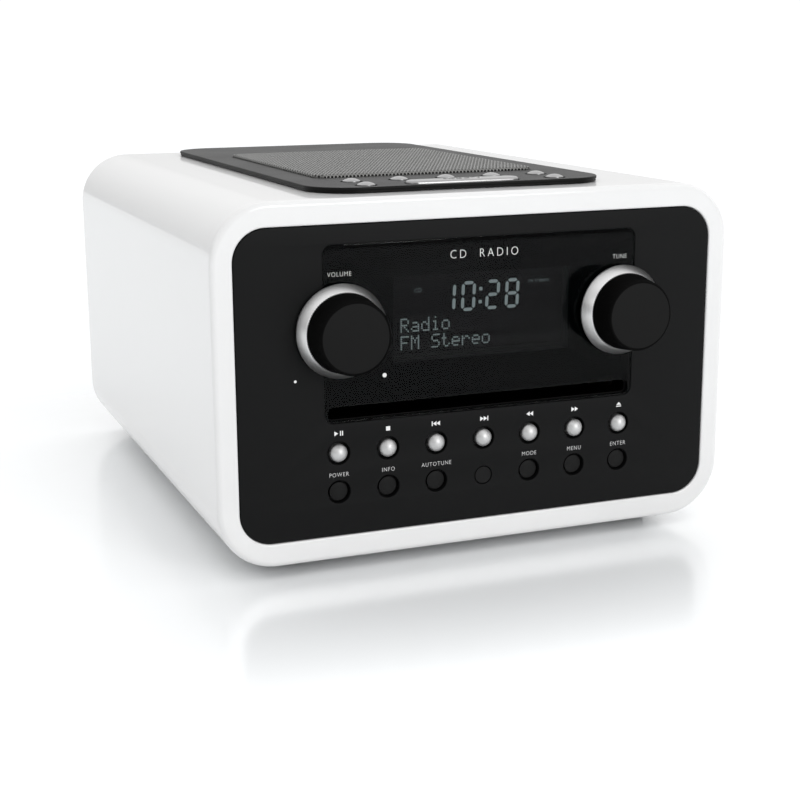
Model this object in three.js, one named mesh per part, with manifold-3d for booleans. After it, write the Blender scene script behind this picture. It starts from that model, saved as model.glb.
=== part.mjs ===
// A tabletop CD radio: a lacquered wooden sleeve, a black control panel with a display window and
// a disc slot, two rotary knobs, and a black cover on top with buttons and a loudspeaker grille.
//
// Millimetres, X to the right, Y from front to back, Z up. The pieces are drawn in the cabinet's
// frame, whose origin is the middle of the cabinet's lower front edge. The last group moves them
// so that the origin is the middle of the object's own footprint, under its feet.

import * as THREE from "three";
import { mergeVertices } from "three/addons/utils/BufferGeometryUtils.js";
import Module from "manifold-3d";

const wasm = await Module();
wasm.setup();

// ---------------------------------------------------------------- driving dimensions

const GAP = 0.3; // clearance between pieces that touch

const CABINET_WIDTH = 220;
const CABINET_HEIGHT = 141;
const CABINET_DEPTH = 260;
const CABINET_CORNER = 23.4;
const SIDE_WALL = 8.5;
const TOP_WALL = 9.5;
const OPENING_CORNER = 13;
const RIM_ROUNDING = 1.5;
const FOOT_HEIGHT = 5;

const PANEL_FRONT = 0.3; // the control panel's face, behind the cabinet's front edge
const PANEL_THICKNESS = 3;
const PANEL_SKIRT_END = 10;

const WINDOW = { width: 133, bottom: 55, top: 123.6, corner: 3.5, thickness: 1.5 };
const WINDOW_FRONT = 0.5;
const SLOT = { width: 129.6, height: 4.6, z: 58.4, corner: 1.6 };
const DISPLAY = { width: 75.6, height: 33.4, z: 93.1, depth: 8 };

const KNOB_X = 60;
const KNOB_Z = 91.1;
const KNOB_REACH = 17.6;
const RING = { inner: 12, outer: 18.3, frontRadius: 15.9, back: -1, front: -6.3 };
const CAP = { faceRadius: 14.2, baseRadius: 15.5, skirtRadius: 11.7, roof: 2.7 };
const SHAFT_RADIUS = 3;
const ENCODER = { size: 13, front: 6.4, bushingRadius: 4.2, boreEnd: 8 };

const BUTTON_PITCH = 20.45;
const TRANSPORT_ROW_Z = 43;
const FUNCTION_ROW_Z = 27.4;
const BUTTON_HOLE_RADIUS = 4.65;
const TRANSPORT_BUTTON = { radius: 3.5, edge: -0.4, rise: 2.4 }; // heights outwards from y = 0
const FUNCTION_BUTTON = { radius: 3.95, edge: -0.3, rise: 0.4 };
const TOP_BUTTON = { radius: 3.6, edge: 0.4, rise: 0.9 }; // heights above the cover
const SENSOR = { column: 3, radius: 3.5 };

const COVER = { width: 127, front: 13.5, back: 250.5, corner: 19, top: 2.4 };
const GRILLE = { width: 99.2, front: 58, back: 188, corner: 5, top: 3.6 };
const TOP_ROW_Y = 39;
const SNOOZE_ROW_Y = 22;
const SNOOZE = { width: 47.8, depth: 8.6, proud: 1.2, stemX: 18 };

const REAR_REACH = 8; // how far the aerial connector stands out behind the cabinet

// ---------------------------------------------------------------- derived positions

const panelBack = PANEL_FRONT + PANEL_THICKNESS;
const windowBack = WINDOW_FRONT + WINDOW.thickness;
const boardFront = 13;
const boardBack = boardFront + 1.6;
const coverTop = CABINET_HEIGHT + COVER.top;
const coverUnderside = CABINET_HEIGHT + GAP;
const openingTop = CABINET_HEIGHT - TOP_WALL;
const openingWidth = CABINET_WIDTH - 2 * SIDE_WALL;
const openingHeight = CABINET_HEIGHT - 2 * TOP_WALL;
const openingMiddle = CABINET_HEIGHT / 2;
const speakerY = (GRILLE.front + GRILLE.back) / 2;
const rearPanelFront = CABINET_DEPTH - 3.5;
const rearPanelBack = CABINET_DEPTH - 0.5;

// ---------------------------------------------------------------- solids

/** A THREE geometry as a manifold-3d solid. */
function solidOf(geometry) {
  const bare = new THREE.BufferGeometry();
  bare.setAttribute("position", geometry.getAttribute("position"));
  if (geometry.index) bare.setIndex(geometry.index);
  const merged = mergeVertices(bare, 1e-4);
  return new wasm.Manifold(
    new wasm.Mesh({
      numProp: 3,
      vertProperties: merged.attributes.position.array,
      triVerts: new Uint32Array(merged.index.array),
    }),
  );
}

/** A manifold-3d solid as a THREE geometry. */
function geometryOf(solid) {
  const { vertProperties, triVerts } = solid.getMesh();
  const geometry = new THREE.BufferGeometry();
  geometry.setAttribute("position", new THREE.BufferAttribute(vertProperties, 3));
  geometry.setIndex(new THREE.BufferAttribute(triVerts, 1));
  return geometry;
}

const join = (...solids) => solids.reduce((whole, solid) => whole.add(solid));
const cut = (solid, ...tools) => tools.reduce((rest, tool) => rest.subtract(tool), solid);

/** A rectangle with round corners, centred on (x, y). */
function roundedRectangle(width, height, radius, x = 0, y = 0) {
  const shape = new THREE.Shape();
  const right = x + width / 2 - radius;
  const left = x - width / 2 + radius;
  const top = y + height / 2 - radius;
  const bottom = y - height / 2 + radius;
  shape.absarc(right, top, radius, 0, Math.PI / 2);
  shape.absarc(left, top, radius, Math.PI / 2, Math.PI);
  shape.absarc(left, bottom, radius, Math.PI, 1.5 * Math.PI);
  shape.absarc(right, bottom, radius, 1.5 * Math.PI, 2 * Math.PI);
  shape.closePath();
  return shape;
}

function disc(radius, x = 0, y = 0) {
  const shape = new THREE.Shape();
  shape.absarc(x, y, radius, 0, 2 * Math.PI);
  return shape;
}

function withHoles(shape, ...holes) {
  shape.holes.push(...holes);
  return shape;
}

function extruded(shape, length, rounding, curveSegments) {
  const geometry = new THREE.ExtrudeGeometry(shape, {
    depth: length - 2 * rounding,
    bevelEnabled: rounding > 0,
    bevelThickness: rounding,
    bevelSize: rounding,
    bevelOffset: -rounding,
    bevelSegments: 1,
    curveSegments,
  });
  return geometry.translate(0, 0, rounding);
}

/** A shape drawn in (x, y), raised from z = bottom to z = top. */
function slab(shape, bottom, top, rounding = 0, curveSegments = 8) {
  return solidOf(extruded(shape, top - bottom, rounding, curveSegments).translate(0, 0, bottom));
}

/** A shape drawn in (x, z), running from y = front to y = back. */
function plate(shape, front, back, rounding = 0, curveSegments = 8) {
  const geometry = extruded(shape, back - front, rounding, curveSegments);
  return solidOf(geometry.rotateX(Math.PI / 2).translate(0, back, 0));
}

function block(left, right, front, back, bottom, top) {
  const geometry = new THREE.BoxGeometry(right - left, back - front, top - bottom);
  return solidOf(
    geometry.translate((left + right) / 2, (front + back) / 2, (bottom + top) / 2),
  );
}

/** The lathe geometry of a closed [radius, height] outline, around the Y axis. */
function lathe(outline, segments) {
  const points = outline.map(([radius, height]) => new THREE.Vector2(radius, height));
  if (THREE.ShapeUtils.area(points) < 0) points.reverse();
  const onAxis = points.every((point) => point.x > 0) ? points[0].clone() : null;
  if (onAxis) points.push(onAxis);
  return new THREE.LatheGeometry(points, segments);
}

/** A turned piece along Y: the outline is [radius, y], starting and ending on the axis or a ring. */
function turnedAlongY(outline, x, z, segments = 24) {
  return solidOf(lathe(outline, segments).translate(x, 0, z));
}

/** A turned piece along Z: the outline is [radius, z]. */
function turnedAlongZ(outline, x, y, segments = 24) {
  return solidOf(lathe(outline, segments).rotateX(Math.PI / 2).translate(x, y, 0));
}

/** A turned piece along X: the outline is [radius, x]. */
function turnedAlongX(outline, y, z, segments = 24) {
  return solidOf(lathe(outline, segments).rotateZ(-Math.PI / 2).translate(0, y, z));
}

const rod = (radius, from, to) => [
  [0, from],
  [radius, from],
  [radius, to],
  [0, to],
];

const ring = (inner, outer, from, to) => [
  [inner, from],
  [outer, from],
  [outer, to],
  [inner, to],
];

/** Points of a shallow dome from its edge (radius, base) to its crown (0, base + rise). */
function domePoints(radius, base, rise, steps = 2) {
  const sphere = (radius * radius + rise * rise) / (2 * rise);
  const halfAngle = Math.asin(Math.min(1, radius / sphere));
  return Array.from({ length: steps + 1 }, (_, i) => {
    const angle = halfAngle * (1 - i / steps);
    return [sphere * Math.sin(angle), base + rise - sphere + sphere * Math.cos(angle)];
  });
}

// ---------------------------------------------------------------- materials

function material(color, roughness, metalness = 0) {
  return new THREE.MeshStandardMaterial({ color, roughness, metalness, flatShading: true });
}

const whiteLacquer = material(0xf2f2f0, 0.12);
const blackPanel = material(0x1c1c1e, 0.55);
const blackGloss = material(0x0b0c10, 0.05);
const coverBlack = material(0x2a2a2c, 0.6);
const knobBlack = material(0x141415, 0.65);
const brushedAluminium = material(0xc9cbce, 0.3, 1);
const satinSilver = material(0xc4c5c6, 0.35, 0.9);
const steel = material(0x9a9da1, 0.4, 1);
const meshSteel = material(0x4a4b4e, 0.5, 0.8);
const displayGlass = material(0x2a2730, 0.15);
const greyPlastic = material(0x4b4b50, 0.6);
const circuitGreen = material(0x1f5a3a, 0.5);
const rubber = material(0x1a1a1a, 0.9);
const coneBlack = material(0x222222, 0.85);
const copperBrown = material(0x6d4a2b, 0.5);

// ---------------------------------------------------------------- the model's groups

const group = new THREE.Group();
const cabinet = new THREE.Group();
const totalDepth = KNOB_REACH + CABINET_DEPTH + REAR_REACH;
cabinet.position.set(0, KNOB_REACH - totalDepth / 2, FOOT_HEIGHT);
group.add(cabinet);

function place(name, solid, finish) {
  const mesh = new THREE.Mesh(geometryOf(solid), finish);
  mesh.name = name;
  cabinet.add(mesh);
}

// ---------------------------------------------------------------- cabinet and feet

const BUTTON_BAY = { width: 104, front: 15.5, back: 46, corner: 4 };
const SPEAKER_HOLE_RADIUS = 40.5;
const SPEAKER_REBATE_RADIUS = 48.2;
const SPEAKER_REBATE_FLOOR = CABINET_HEIGHT - 3;

const CORNER_BLOCK = {
  size: 16,
  spans: [
    [16, 28],
    [244, rearPanelFront - GAP],
  ],
};

/** A glue block in one corner of the sleeve, which a panel is screwed to. */
function makeCornerBlock(side, end, front, back) {
  const size = CORNER_BLOCK.size;
  const x = side * (openingWidth / 2 - size / 2 + 0.5);
  const z = openingMiddle + end * (openingHeight / 2 - size / 2 + 0.5);
  return block(x - size / 2, x + size / 2, front, back, z - size / 2, z + size / 2);
}

function makeCabinetShell() {
  const outer = roundedRectangle(
    CABINET_WIDTH,
    CABINET_HEIGHT,
    CABINET_CORNER,
    0,
    openingMiddle,
  );
  const inner = roundedRectangle(
    openingWidth,
    openingHeight,
    OPENING_CORNER,
    0,
    openingMiddle,
  );
  const sleeve = plate(withHoles(outer, inner), 0, CABINET_DEPTH, RIM_ROUNDING, 5);
  const bayMiddle = (BUTTON_BAY.front + BUTTON_BAY.back) / 2;
  const bayDepth = BUTTON_BAY.back - BUTTON_BAY.front;
  const above = CABINET_HEIGHT + 1;
  const below = openingTop - 1;
  const cornerBlocks = [-1, 1].flatMap((side) =>
    [-1, 1].flatMap((end) =>
      CORNER_BLOCK.spans.map(([front, back]) => makeCornerBlock(side, end, front, back)),
    ),
  );
  return cut(
    join(sleeve, ...cornerBlocks),
    slab(
      roundedRectangle(BUTTON_BAY.width, bayDepth, BUTTON_BAY.corner, 0, bayMiddle),
      below,
      above,
    ),
    turnedAlongZ(rod(SPEAKER_HOLE_RADIUS, below, above), 0, speakerY, 32),
    turnedAlongZ(rod(SPEAKER_REBATE_RADIUS, SPEAKER_REBATE_FLOOR, above), 0, speakerY, 32),
  );
}

function makeFoot(x, y) {
  const outline = [
    [0, -FOOT_HEIGHT],
    [8.2, -FOOT_HEIGHT],
    [9, -FOOT_HEIGHT + 0.8],
    [9.6, -GAP],
    [0, -GAP],
  ];
  return turnedAlongZ(outline, x, y, 16);
}

place("cabinet_shell", makeCabinetShell(), whiteLacquer);
const FOOT_X = 78;
const FOOT_INSET = 24;
for (const [end, y] of [
  ["front", FOOT_INSET],
  ["rear", CABINET_DEPTH - FOOT_INSET],
]) {
  place(`foot_${end}_left`, makeFoot(-FOOT_X, y), rubber);
  place(`foot_${end}_right`, makeFoot(FOOT_X, y), rubber);
}

// ---------------------------------------------------------------- control panel and window

const buttonColumns = [-3, -2, -1, 0, 1, 2, 3].map((i) => i * BUTTON_PITCH);
const shaftHoleRadius = 4.6;
const BOARD_BOSS = { x: 88, z: 48, radius: 3.4 }; // posts behind the panel, from its middle

function windowShape(grow) {
  const height = WINDOW.top - WINDOW.bottom;
  return roundedRectangle(
    WINDOW.width + 2 * grow,
    height + 2 * grow,
    WINDOW.corner,
    0,
    WINDOW.bottom + height / 2,
  );
}

const slotShape = () => roundedRectangle(SLOT.width, SLOT.height, SLOT.corner, 0, SLOT.z);
const displayShape = (grow) =>
  roundedRectangle(DISPLAY.width + 2 * grow, DISPLAY.height + 2 * grow, 1, 0, DISPLAY.z);

function makeFrontPanel() {
  const outline = roundedRectangle(
    openingWidth - 2 * GAP,
    openingHeight - 2 * GAP,
    OPENING_CORNER - GAP,
    0,
    openingMiddle,
  );
  buttonColumns.forEach((x, i) => {
    const lower = i === SENSOR.column ? SENSOR.radius + GAP : BUTTON_HOLE_RADIUS;
    outline.holes.push(disc(BUTTON_HOLE_RADIUS, x, TRANSPORT_ROW_Z), disc(lower, x, FUNCTION_ROW_Z));
  });
  const face = plate(outline, PANEL_FRONT, panelBack, 0, 4);
  const skirt = plate(
    withHoles(
      roundedRectangle(
        openingWidth - 2 * GAP - 2,
        openingHeight - 2 * GAP - 2,
        OPENING_CORNER - 1,
        0,
        openingMiddle,
      ),
      roundedRectangle(
        openingWidth - 7,
        openingHeight - 7,
        OPENING_CORNER - 3,
        0,
        openingMiddle,
      ),
    ),
    panelBack - 0.8,
    PANEL_SKIRT_END,
    0,
    3,
  );
  const ledge = windowBack + GAP;
  const bosses = [-1, 1].flatMap((side) =>
    [-1, 1].map((end) =>
      turnedAlongY(
        rod(BOARD_BOSS.radius, panelBack - 0.5, boardFront - GAP),
        side * BOARD_BOSS.x,
        openingMiddle + end * BOARD_BOSS.z,
        8,
      ),
    ),
  );
  return cut(
    join(face, skirt, ...bosses),
    plate(windowShape(GAP), PANEL_FRONT - 1, ledge, 0, 2),
    plate(slotShape(), ledge - 1, panelBack + 1, 0, 3),
    plate(displayShape(4), ledge - 1, panelBack + 1, 0, 2),
    turnedAlongY(rod(shaftHoleRadius, ledge - 1, panelBack + 1), -KNOB_X, KNOB_Z, 20),
    turnedAlongY(rod(shaftHoleRadius, ledge - 1, panelBack + 1), KNOB_X, KNOB_Z, 20),
  );
}

function makeDisplayWindow() {
  const outline = withHoles(
    windowShape(0),
    slotShape(),
    disc(shaftHoleRadius, -KNOB_X, KNOB_Z),
    disc(shaftHoleRadius, KNOB_X, KNOB_Z),
  );
  return plate(outline, WINDOW_FRONT, windowBack, 0, 4);
}

function makeSlotGuide() {
  const outer = roundedRectangle(SLOT.width + 6, SLOT.height + 5, 2, 0, SLOT.z);
  return plate(withHoles(outer, slotShape()), panelBack + GAP, boardFront - GAP, 0, 3);
}

place("front_panel", makeFrontPanel(), blackPanel);
place("display_window", makeDisplayWindow(), blackGloss);
place("disc_slot_guide", makeSlotGuide(), blackPanel);

// ---------------------------------------------------------------- display module

const LCD_THICKNESS = boardFront - GAP - DISPLAY.depth;

place(
  "display_surround",
  plate(withHoles(displayShape(3), displayShape(0)), windowBack + GAP, DISPLAY.depth - GAP, 0, 2),
  greyPlastic,
);
place(
  "display_module",
  plate(displayShape(3), DISPLAY.depth, DISPLAY.depth + LCD_THICKNESS, 0, 2),
  displayGlass,
);

// ---------------------------------------------------------------- knobs and their encoders

function makeKnobRing(x) {
  const outline = [
    [RING.inner, RING.back],
    [RING.outer - 0.4, RING.back],
    [RING.outer, RING.back - 0.4],
    [RING.outer, RING.back - 0.9],
    [RING.frontRadius, RING.front],
    [RING.inner, RING.front],
  ];
  return turnedAlongY(outline, x, KNOB_Z, 28);
}

function makeKnobCap(x) {
  const face = -KNOB_REACH;
  const skirtEnd = RING.back - GAP;
  const boreRadius = SHAFT_RADIUS + GAP;
  const outline = [
    [0, face],
    [CAP.faceRadius - 0.9, face],
    [CAP.faceRadius - 0.3, face + 0.25],
    [CAP.faceRadius, face + 0.8],
    [CAP.baseRadius, RING.front - GAP],
    [CAP.skirtRadius, RING.front - GAP],
    [CAP.skirtRadius, skirtEnd],
    [boreRadius, skirtEnd],
    [boreRadius, face + CAP.roof],
    [0, face + CAP.roof],
  ];
  return turnedAlongY(outline, x, KNOB_Z, 28);
}

function makeEncoder(x) {
  const { size, front, bushingRadius, boreEnd } = ENCODER;
  const half = size / 2;
  const body = block(x - half, x + half, front, boardFront - GAP, KNOB_Z - half, KNOB_Z + half);
  const bushing = turnedAlongY(rod(bushingRadius, PANEL_FRONT + 1, front + 0.6), x, KNOB_Z, 16);
  const bore = turnedAlongY(rod(SHAFT_RADIUS + GAP, 0, boreEnd), x, KNOB_Z, 16);
  return cut(join(body, bushing), bore);
}

function makeShaft(x) {
  const front = -KNOB_REACH + CAP.roof + GAP;
  return turnedAlongY(rod(SHAFT_RADIUS, front, ENCODER.boreEnd - GAP), x, KNOB_Z, 16);
}

for (const [name, x] of [
  ["volume", -KNOB_X],
  ["tune", KNOB_X],
]) {
  place(`${name}_knob_cap`, makeKnobCap(x), knobBlack);
  place(`${name}_knob_ring`, makeKnobRing(x), brushedAluminium);
  place(`${name}_shaft`, makeShaft(x), steel);
  place(`${name}_encoder`, makeEncoder(x), steel);
}

// ---------------------------------------------------------------- front buttons

const FLANGE_RADIUS = 5.3;
const STEM_RADIUS = 1.6;
const BUTTON_TRAVEL = 1;
const FLANGE_THICKNESS = 1;

/** A button's [radius, height] outline, the height measured outwards from its hole's face. */
function buttonOutline({ radius, rise }, edge, flangeTop, stemEnd) {
  return [
    [0, stemEnd],
    [STEM_RADIUS, stemEnd],
    [STEM_RADIUS, flangeTop - FLANGE_THICKNESS],
    [FLANGE_RADIUS, flangeTop - FLANGE_THICKNESS],
    [FLANGE_RADIUS, flangeTop],
    [radius, flangeTop],
    ...domePoints(radius, edge, rise),
  ];
}

const SWITCH = { front: 10.9, half: 3 };
const frontFlange = -(panelBack + GAP);
const frontStemEnd = -(SWITCH.front - BUTTON_TRAVEL - GAP);
const frontOutline = (button) => buttonOutline(button, button.edge, frontFlange, frontStemEnd);
const transportOutline = frontOutline(TRANSPORT_BUTTON);
const functionOutline = frontOutline(FUNCTION_BUTTON);
const towardsBack = (outline) => outline.map(([radius, out]) => [radius, -out]);

const TRANSPORT_BUTTONS = ["play_pause", "stop", "previous", "next", "rewind", "forward", "eject"];
const FUNCTION_BUTTONS = ["power", "info", "autotune", null, "mode", "menu", "enter"];

TRANSPORT_BUTTONS.forEach((name, i) =>
  place(
    `button_${name}`,
    turnedAlongY(towardsBack(transportOutline), buttonColumns[i], TRANSPORT_ROW_Z, 12),
    satinSilver,
  ),
);
FUNCTION_BUTTONS.forEach((name, i) => {
  if (name)
    place(
      `button_${name}`,
      turnedAlongY(towardsBack(functionOutline), buttonColumns[i], FUNCTION_ROW_Z, 12),
      blackPanel,
    );
});

function makeSensorWindow() {
  const outline = [
    [0, PANEL_FRONT + 0.1],
    [SENSOR.radius, PANEL_FRONT + 0.1],
    [SENSOR.radius, panelBack + GAP],
    [FLANGE_RADIUS, panelBack + GAP],
    [FLANGE_RADIUS, panelBack + GAP + FLANGE_THICKNESS],
    [0, panelBack + GAP + FLANGE_THICKNESS],
  ];
  return turnedAlongY(outline, buttonColumns[SENSOR.column], FUNCTION_ROW_Z, 16);
}

place("remote_sensor_window", makeSensorWindow(), blackGloss);

// ---------------------------------------------------------------- front circuit board

const FRONT_BOARD = { width: 194, height: 112, corner: 6 };
const RECEIVER_FRONT = 6.5; // the infrared receiver, behind the sensor window

function tactSwitch(x, z) {
  const { half, front } = SWITCH;
  return block(x - half, x + half, front, boardFront + 0.2, z - half, z + half);
}

function makeFrontBoard() {
  const outline = withHoles(
    roundedRectangle(FRONT_BOARD.width, FRONT_BOARD.height, FRONT_BOARD.corner, 0, openingMiddle),
    roundedRectangle(SLOT.width + 8, SLOT.height + 5, 2, 0, SLOT.z),
  );
  const switches = buttonColumns.flatMap((x, i) => [
    tactSwitch(x, TRANSPORT_ROW_Z),
    ...(i === SENSOR.column ? [] : [tactSwitch(x, FUNCTION_ROW_Z)]),
  ]);
  const receiver = block(
    -3,
    3,
    RECEIVER_FRONT,
    boardFront + 0.2,
    FUNCTION_ROW_Z - 3,
    FUNCTION_ROW_Z + 3,
  );
  return join(plate(outline, boardFront, boardBack, 0, 3), receiver, ...switches);
}

place("front_board", makeFrontBoard(), circuitGreen);

// ---------------------------------------------------------------- top cover and grille

const TOP_HOLE_RADIUS = 4.45;
const topButtons = [
  ["top_button_1", -2 * BUTTON_PITCH, TOP_ROW_Y],
  ["top_button_2", -BUTTON_PITCH, TOP_ROW_Y],
  ["top_button_3", 0, TOP_ROW_Y],
  ["top_button_4", BUTTON_PITCH, TOP_ROW_Y],
  ["top_button_5", 2 * BUTTON_PITCH, TOP_ROW_Y],
  ["top_button_left", -2 * BUTTON_PITCH, SNOOZE_ROW_Y],
  ["top_button_right", 2 * BUTTON_PITCH, SNOOZE_ROW_Y],
];
const snoozeShape = (grow) =>
  roundedRectangle(
    SNOOZE.width + 2 * grow,
    SNOOZE.depth + 2 * grow,
    SNOOZE.depth / 2 + grow - 0.4,
    0,
    SNOOZE_ROW_Y,
  );
const grilleShape = (grow) =>
  roundedRectangle(
    GRILLE.width + 2 * grow,
    GRILLE.back - GRILLE.front + 2 * grow,
    GRILLE.corner,
    0,
    speakerY,
  );
const TOP_BOARD_TOP = CABINET_HEIGHT - 6.4;
const GRILLE_LEDGE = 3;
const GRILLE_SHEET = 0.9;
const ledgeTop = CABINET_HEIGHT + 1.2;

function makeTopCover() {
  const outline = roundedRectangle(
    COVER.width,
    COVER.back - COVER.front,
    COVER.corner,
    0,
    (COVER.front + COVER.back) / 2,
  );
  outline.holes.push(grilleShape(-GRILLE_LEDGE), snoozeShape(0.6));
  for (const [, x, y] of topButtons) outline.holes.push(disc(TOP_HOLE_RADIUS, x, y));
  const bossBottom = TOP_BOARD_TOP + GAP;
  const bosses = [-1, 1].flatMap((side) =>
    [TOP_ROW_Y, SNOOZE_ROW_Y].map((y) =>
      turnedAlongZ(rod(2, bossBottom, coverUnderside + 1), side * 1.5 * BUTTON_PITCH, y, 8),
    ),
  );
  const sheet = join(slab(outline, coverUnderside, coverTop, 0, 4), ...bosses);
  return cut(sheet, slab(grilleShape(GAP), ledgeTop, coverTop + 1, 0, 3));
}

function makeGrille() {
  const top = CABINET_HEIGHT + GRILLE.top;
  const tray = slab(grilleShape(0), ledgeTop + GAP, top, 0.4, 3);
  return cut(tray, slab(grilleShape(-GRILLE_SHEET), ledgeTop, top - GRILLE_SHEET, 0, 3));
}

place("top_cover", makeTopCover(), coverBlack);
place("speaker_grille", makeGrille(), meshSteel);

// ---------------------------------------------------------------- top buttons and their board

const TOP_SWITCH_TOP = CABINET_HEIGHT - 3.6;
const topFlange = coverUnderside - GAP;
const topStemEnd = TOP_SWITCH_TOP + BUTTON_TRAVEL + GAP;
const topOutline = buttonOutline(TOP_BUTTON, coverTop + TOP_BUTTON.edge, topFlange, topStemEnd);

for (const [name, x, y] of topButtons) place(name, turnedAlongZ(topOutline, x, y, 12), satinSilver);

place(
  "snooze_bar",
  join(
    slab(snoozeShape(0), topFlange - 0.5, coverTop + SNOOZE.proud, 0.4, 4),
    slab(snoozeShape(1.2), topFlange - FLANGE_THICKNESS, topFlange, 0, 4),
    ...[-1, 1].map((side) =>
      turnedAlongZ(rod(STEM_RADIUS, topStemEnd, topFlange), side * SNOOZE.stemX, SNOOZE_ROW_Y, 8),
    ),
  ),
  satinSilver,
);

function topSwitch(x, y) {
  const half = 3;
  return block(x - half, x + half, y - half, y + half, TOP_BOARD_TOP - 0.2, TOP_SWITCH_TOP);
}

function makeTopBoard() {
  const middle = (BUTTON_BAY.front + BUTTON_BAY.back) / 2;
  const shape = roundedRectangle(BUTTON_BAY.width - 3, 27.5, 2, 0, middle);
  return join(
    slab(shape, TOP_BOARD_TOP - 1.6, TOP_BOARD_TOP, 0, 3),
    ...topButtons.map(([, x, y]) => topSwitch(x, y)),
    topSwitch(-SNOOZE.stemX, SNOOZE_ROW_Y),
    topSwitch(SNOOZE.stemX, SNOOZE_ROW_Y),
  );
}

place("top_button_board", makeTopBoard(), circuitGreen);

// ---------------------------------------------------------------- loudspeaker

const SPEAKER_FLANGE_TOP = CABINET_HEIGHT - 0.2;
const BASKET = { floor: 112.3, flange: 47.6, throat: 38.4, foot: 24.6, bore: 9.8, sheet: 1.4 };
const MAGNET_TOP = BASKET.floor - GAP;
const MAGNET = { radius: 22.5, height: 14, gapOuter: 9.2, poleRadius: 6.4, gapDepth: 9 };

function makeSpeakerBasket() {
  const outline = [
    [BASKET.throat, SPEAKER_FLANGE_TOP],
    [BASKET.flange, SPEAKER_FLANGE_TOP],
    [BASKET.flange, SPEAKER_REBATE_FLOOR + GAP],
    [BASKET.throat + BASKET.sheet, SPEAKER_REBATE_FLOOR + GAP],
    [BASKET.foot, BASKET.floor],
    [BASKET.bore, BASKET.floor],
    [BASKET.bore, BASKET.floor + BASKET.sheet],
    [BASKET.foot - 1, BASKET.floor + BASKET.sheet],
    [BASKET.throat, SPEAKER_REBATE_FLOOR + 0.4],
  ];
  return turnedAlongZ(outline, 0, speakerY, 24);
}

function makeSpeakerMagnet() {
  const outline = [
    [0, MAGNET_TOP - MAGNET.height],
    [MAGNET.radius, MAGNET_TOP - MAGNET.height],
    [MAGNET.radius, MAGNET_TOP],
    [MAGNET.gapOuter, MAGNET_TOP],
    [MAGNET.gapOuter, MAGNET_TOP - MAGNET.gapDepth],
    [MAGNET.poleRadius, MAGNET_TOP - MAGNET.gapDepth],
    [MAGNET.poleRadius, MAGNET_TOP],
    [0, MAGNET_TOP],
  ];
  return turnedAlongZ(outline, 0, speakerY, 20);
}

function makeSpeakerCone() {
  const top = SPEAKER_REBATE_FLOOR;
  const dustCap = domePoints(11, top - 16.2, 4.6);
  const underDustCap = domePoints(9.8, top - 17, 4.2).reverse();
  const outline = [
    ...underDustCap,
    [8.2, top - 18.4],
    [8.2, MAGNET_TOP - 5.5],
    [7.4, MAGNET_TOP - 5.5],
    [7.4, top - 18.8],
    [8.6, top - 19.6],
    [31.2, top - 1.6],
    [32.5, top - 1.6],
    [34.6, top + 0.2],
    [36.8, top + 0.2],
    [36.8, top + 1],
    [34.6, top + 1.4],
    [32.6, top + 0.2],
    [31, top - 0.6],
    ...dustCap,
  ];
  return turnedAlongZ(outline, 0, speakerY, 16);
}

place("speaker_basket", makeSpeakerBasket(), steel);
place("speaker_magnet", makeSpeakerMagnet(), steel);
place("speaker_cone", makeSpeakerCone(), coneBlack);

// ---------------------------------------------------------------- disc drive

const DISC_CLEARANCE_BOTTOM = SLOT.z - SLOT.height / 2; // nothing in the drive rises above this
const DRIVE = { halfWidth: 74, front: 18, back: 172, bottom: 40, top: 68, sheet: 1.2 };
const MOUTH = { half: 66, z: 4.4 }; // the chassis's opening for the disc
const LID = { width: 104, length: 112, corner: 16 }; // the opening in the chassis's top
const FLOOR = TOP_WALL; // the cabinet's inner floor
const SPINDLE_Y = 92;
const ROLLER_Y = 27;
const ROLLER = { radius: 5, axle: 1.6, half: 60 };

function makeDriveChassis() {
  const { halfWidth, front, back, bottom, top, sheet } = DRIVE;
  const middle = (front + back) / 2;
  const legs = [-1, 1].flatMap((side) =>
    [front + 10, back - 10].map((y) => {
      const x = side * (halfWidth - 4);
      return block(x - 4, x + 4, y - 5, y + 5, FLOOR + GAP, bottom + 0.5);
    }),
  );
  return cut(
    join(block(-halfWidth, halfWidth, front, back, bottom, top), ...legs),
    block(
      -halfWidth + sheet,
      halfWidth - sheet,
      front + sheet,
      back - sheet,
      bottom + sheet,
      top - sheet,
    ),
    block(-MOUTH.half, MOUTH.half, front - 1, front + 3, SLOT.z - MOUTH.z, SLOT.z + MOUTH.z),
    slab(roundedRectangle(LID.width, LID.length, LID.corner, 0, middle), top - 3, top + 1, 0, 4),
  );
}

const DECK_BOTTOM = 43.5;
const DECK_TOP = 45;
const DECK = { halfWidth: 56, front: 44, back: 169, grommetX: 48 };
const MOTOR = { radius: 12, top: 51.4 };
const RAIL = { x: 20, halfWidth: 1.5, top: 47.5 };
const SLED_BAY = { halfWidth: 15, front: 108, back: 166 };

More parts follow.
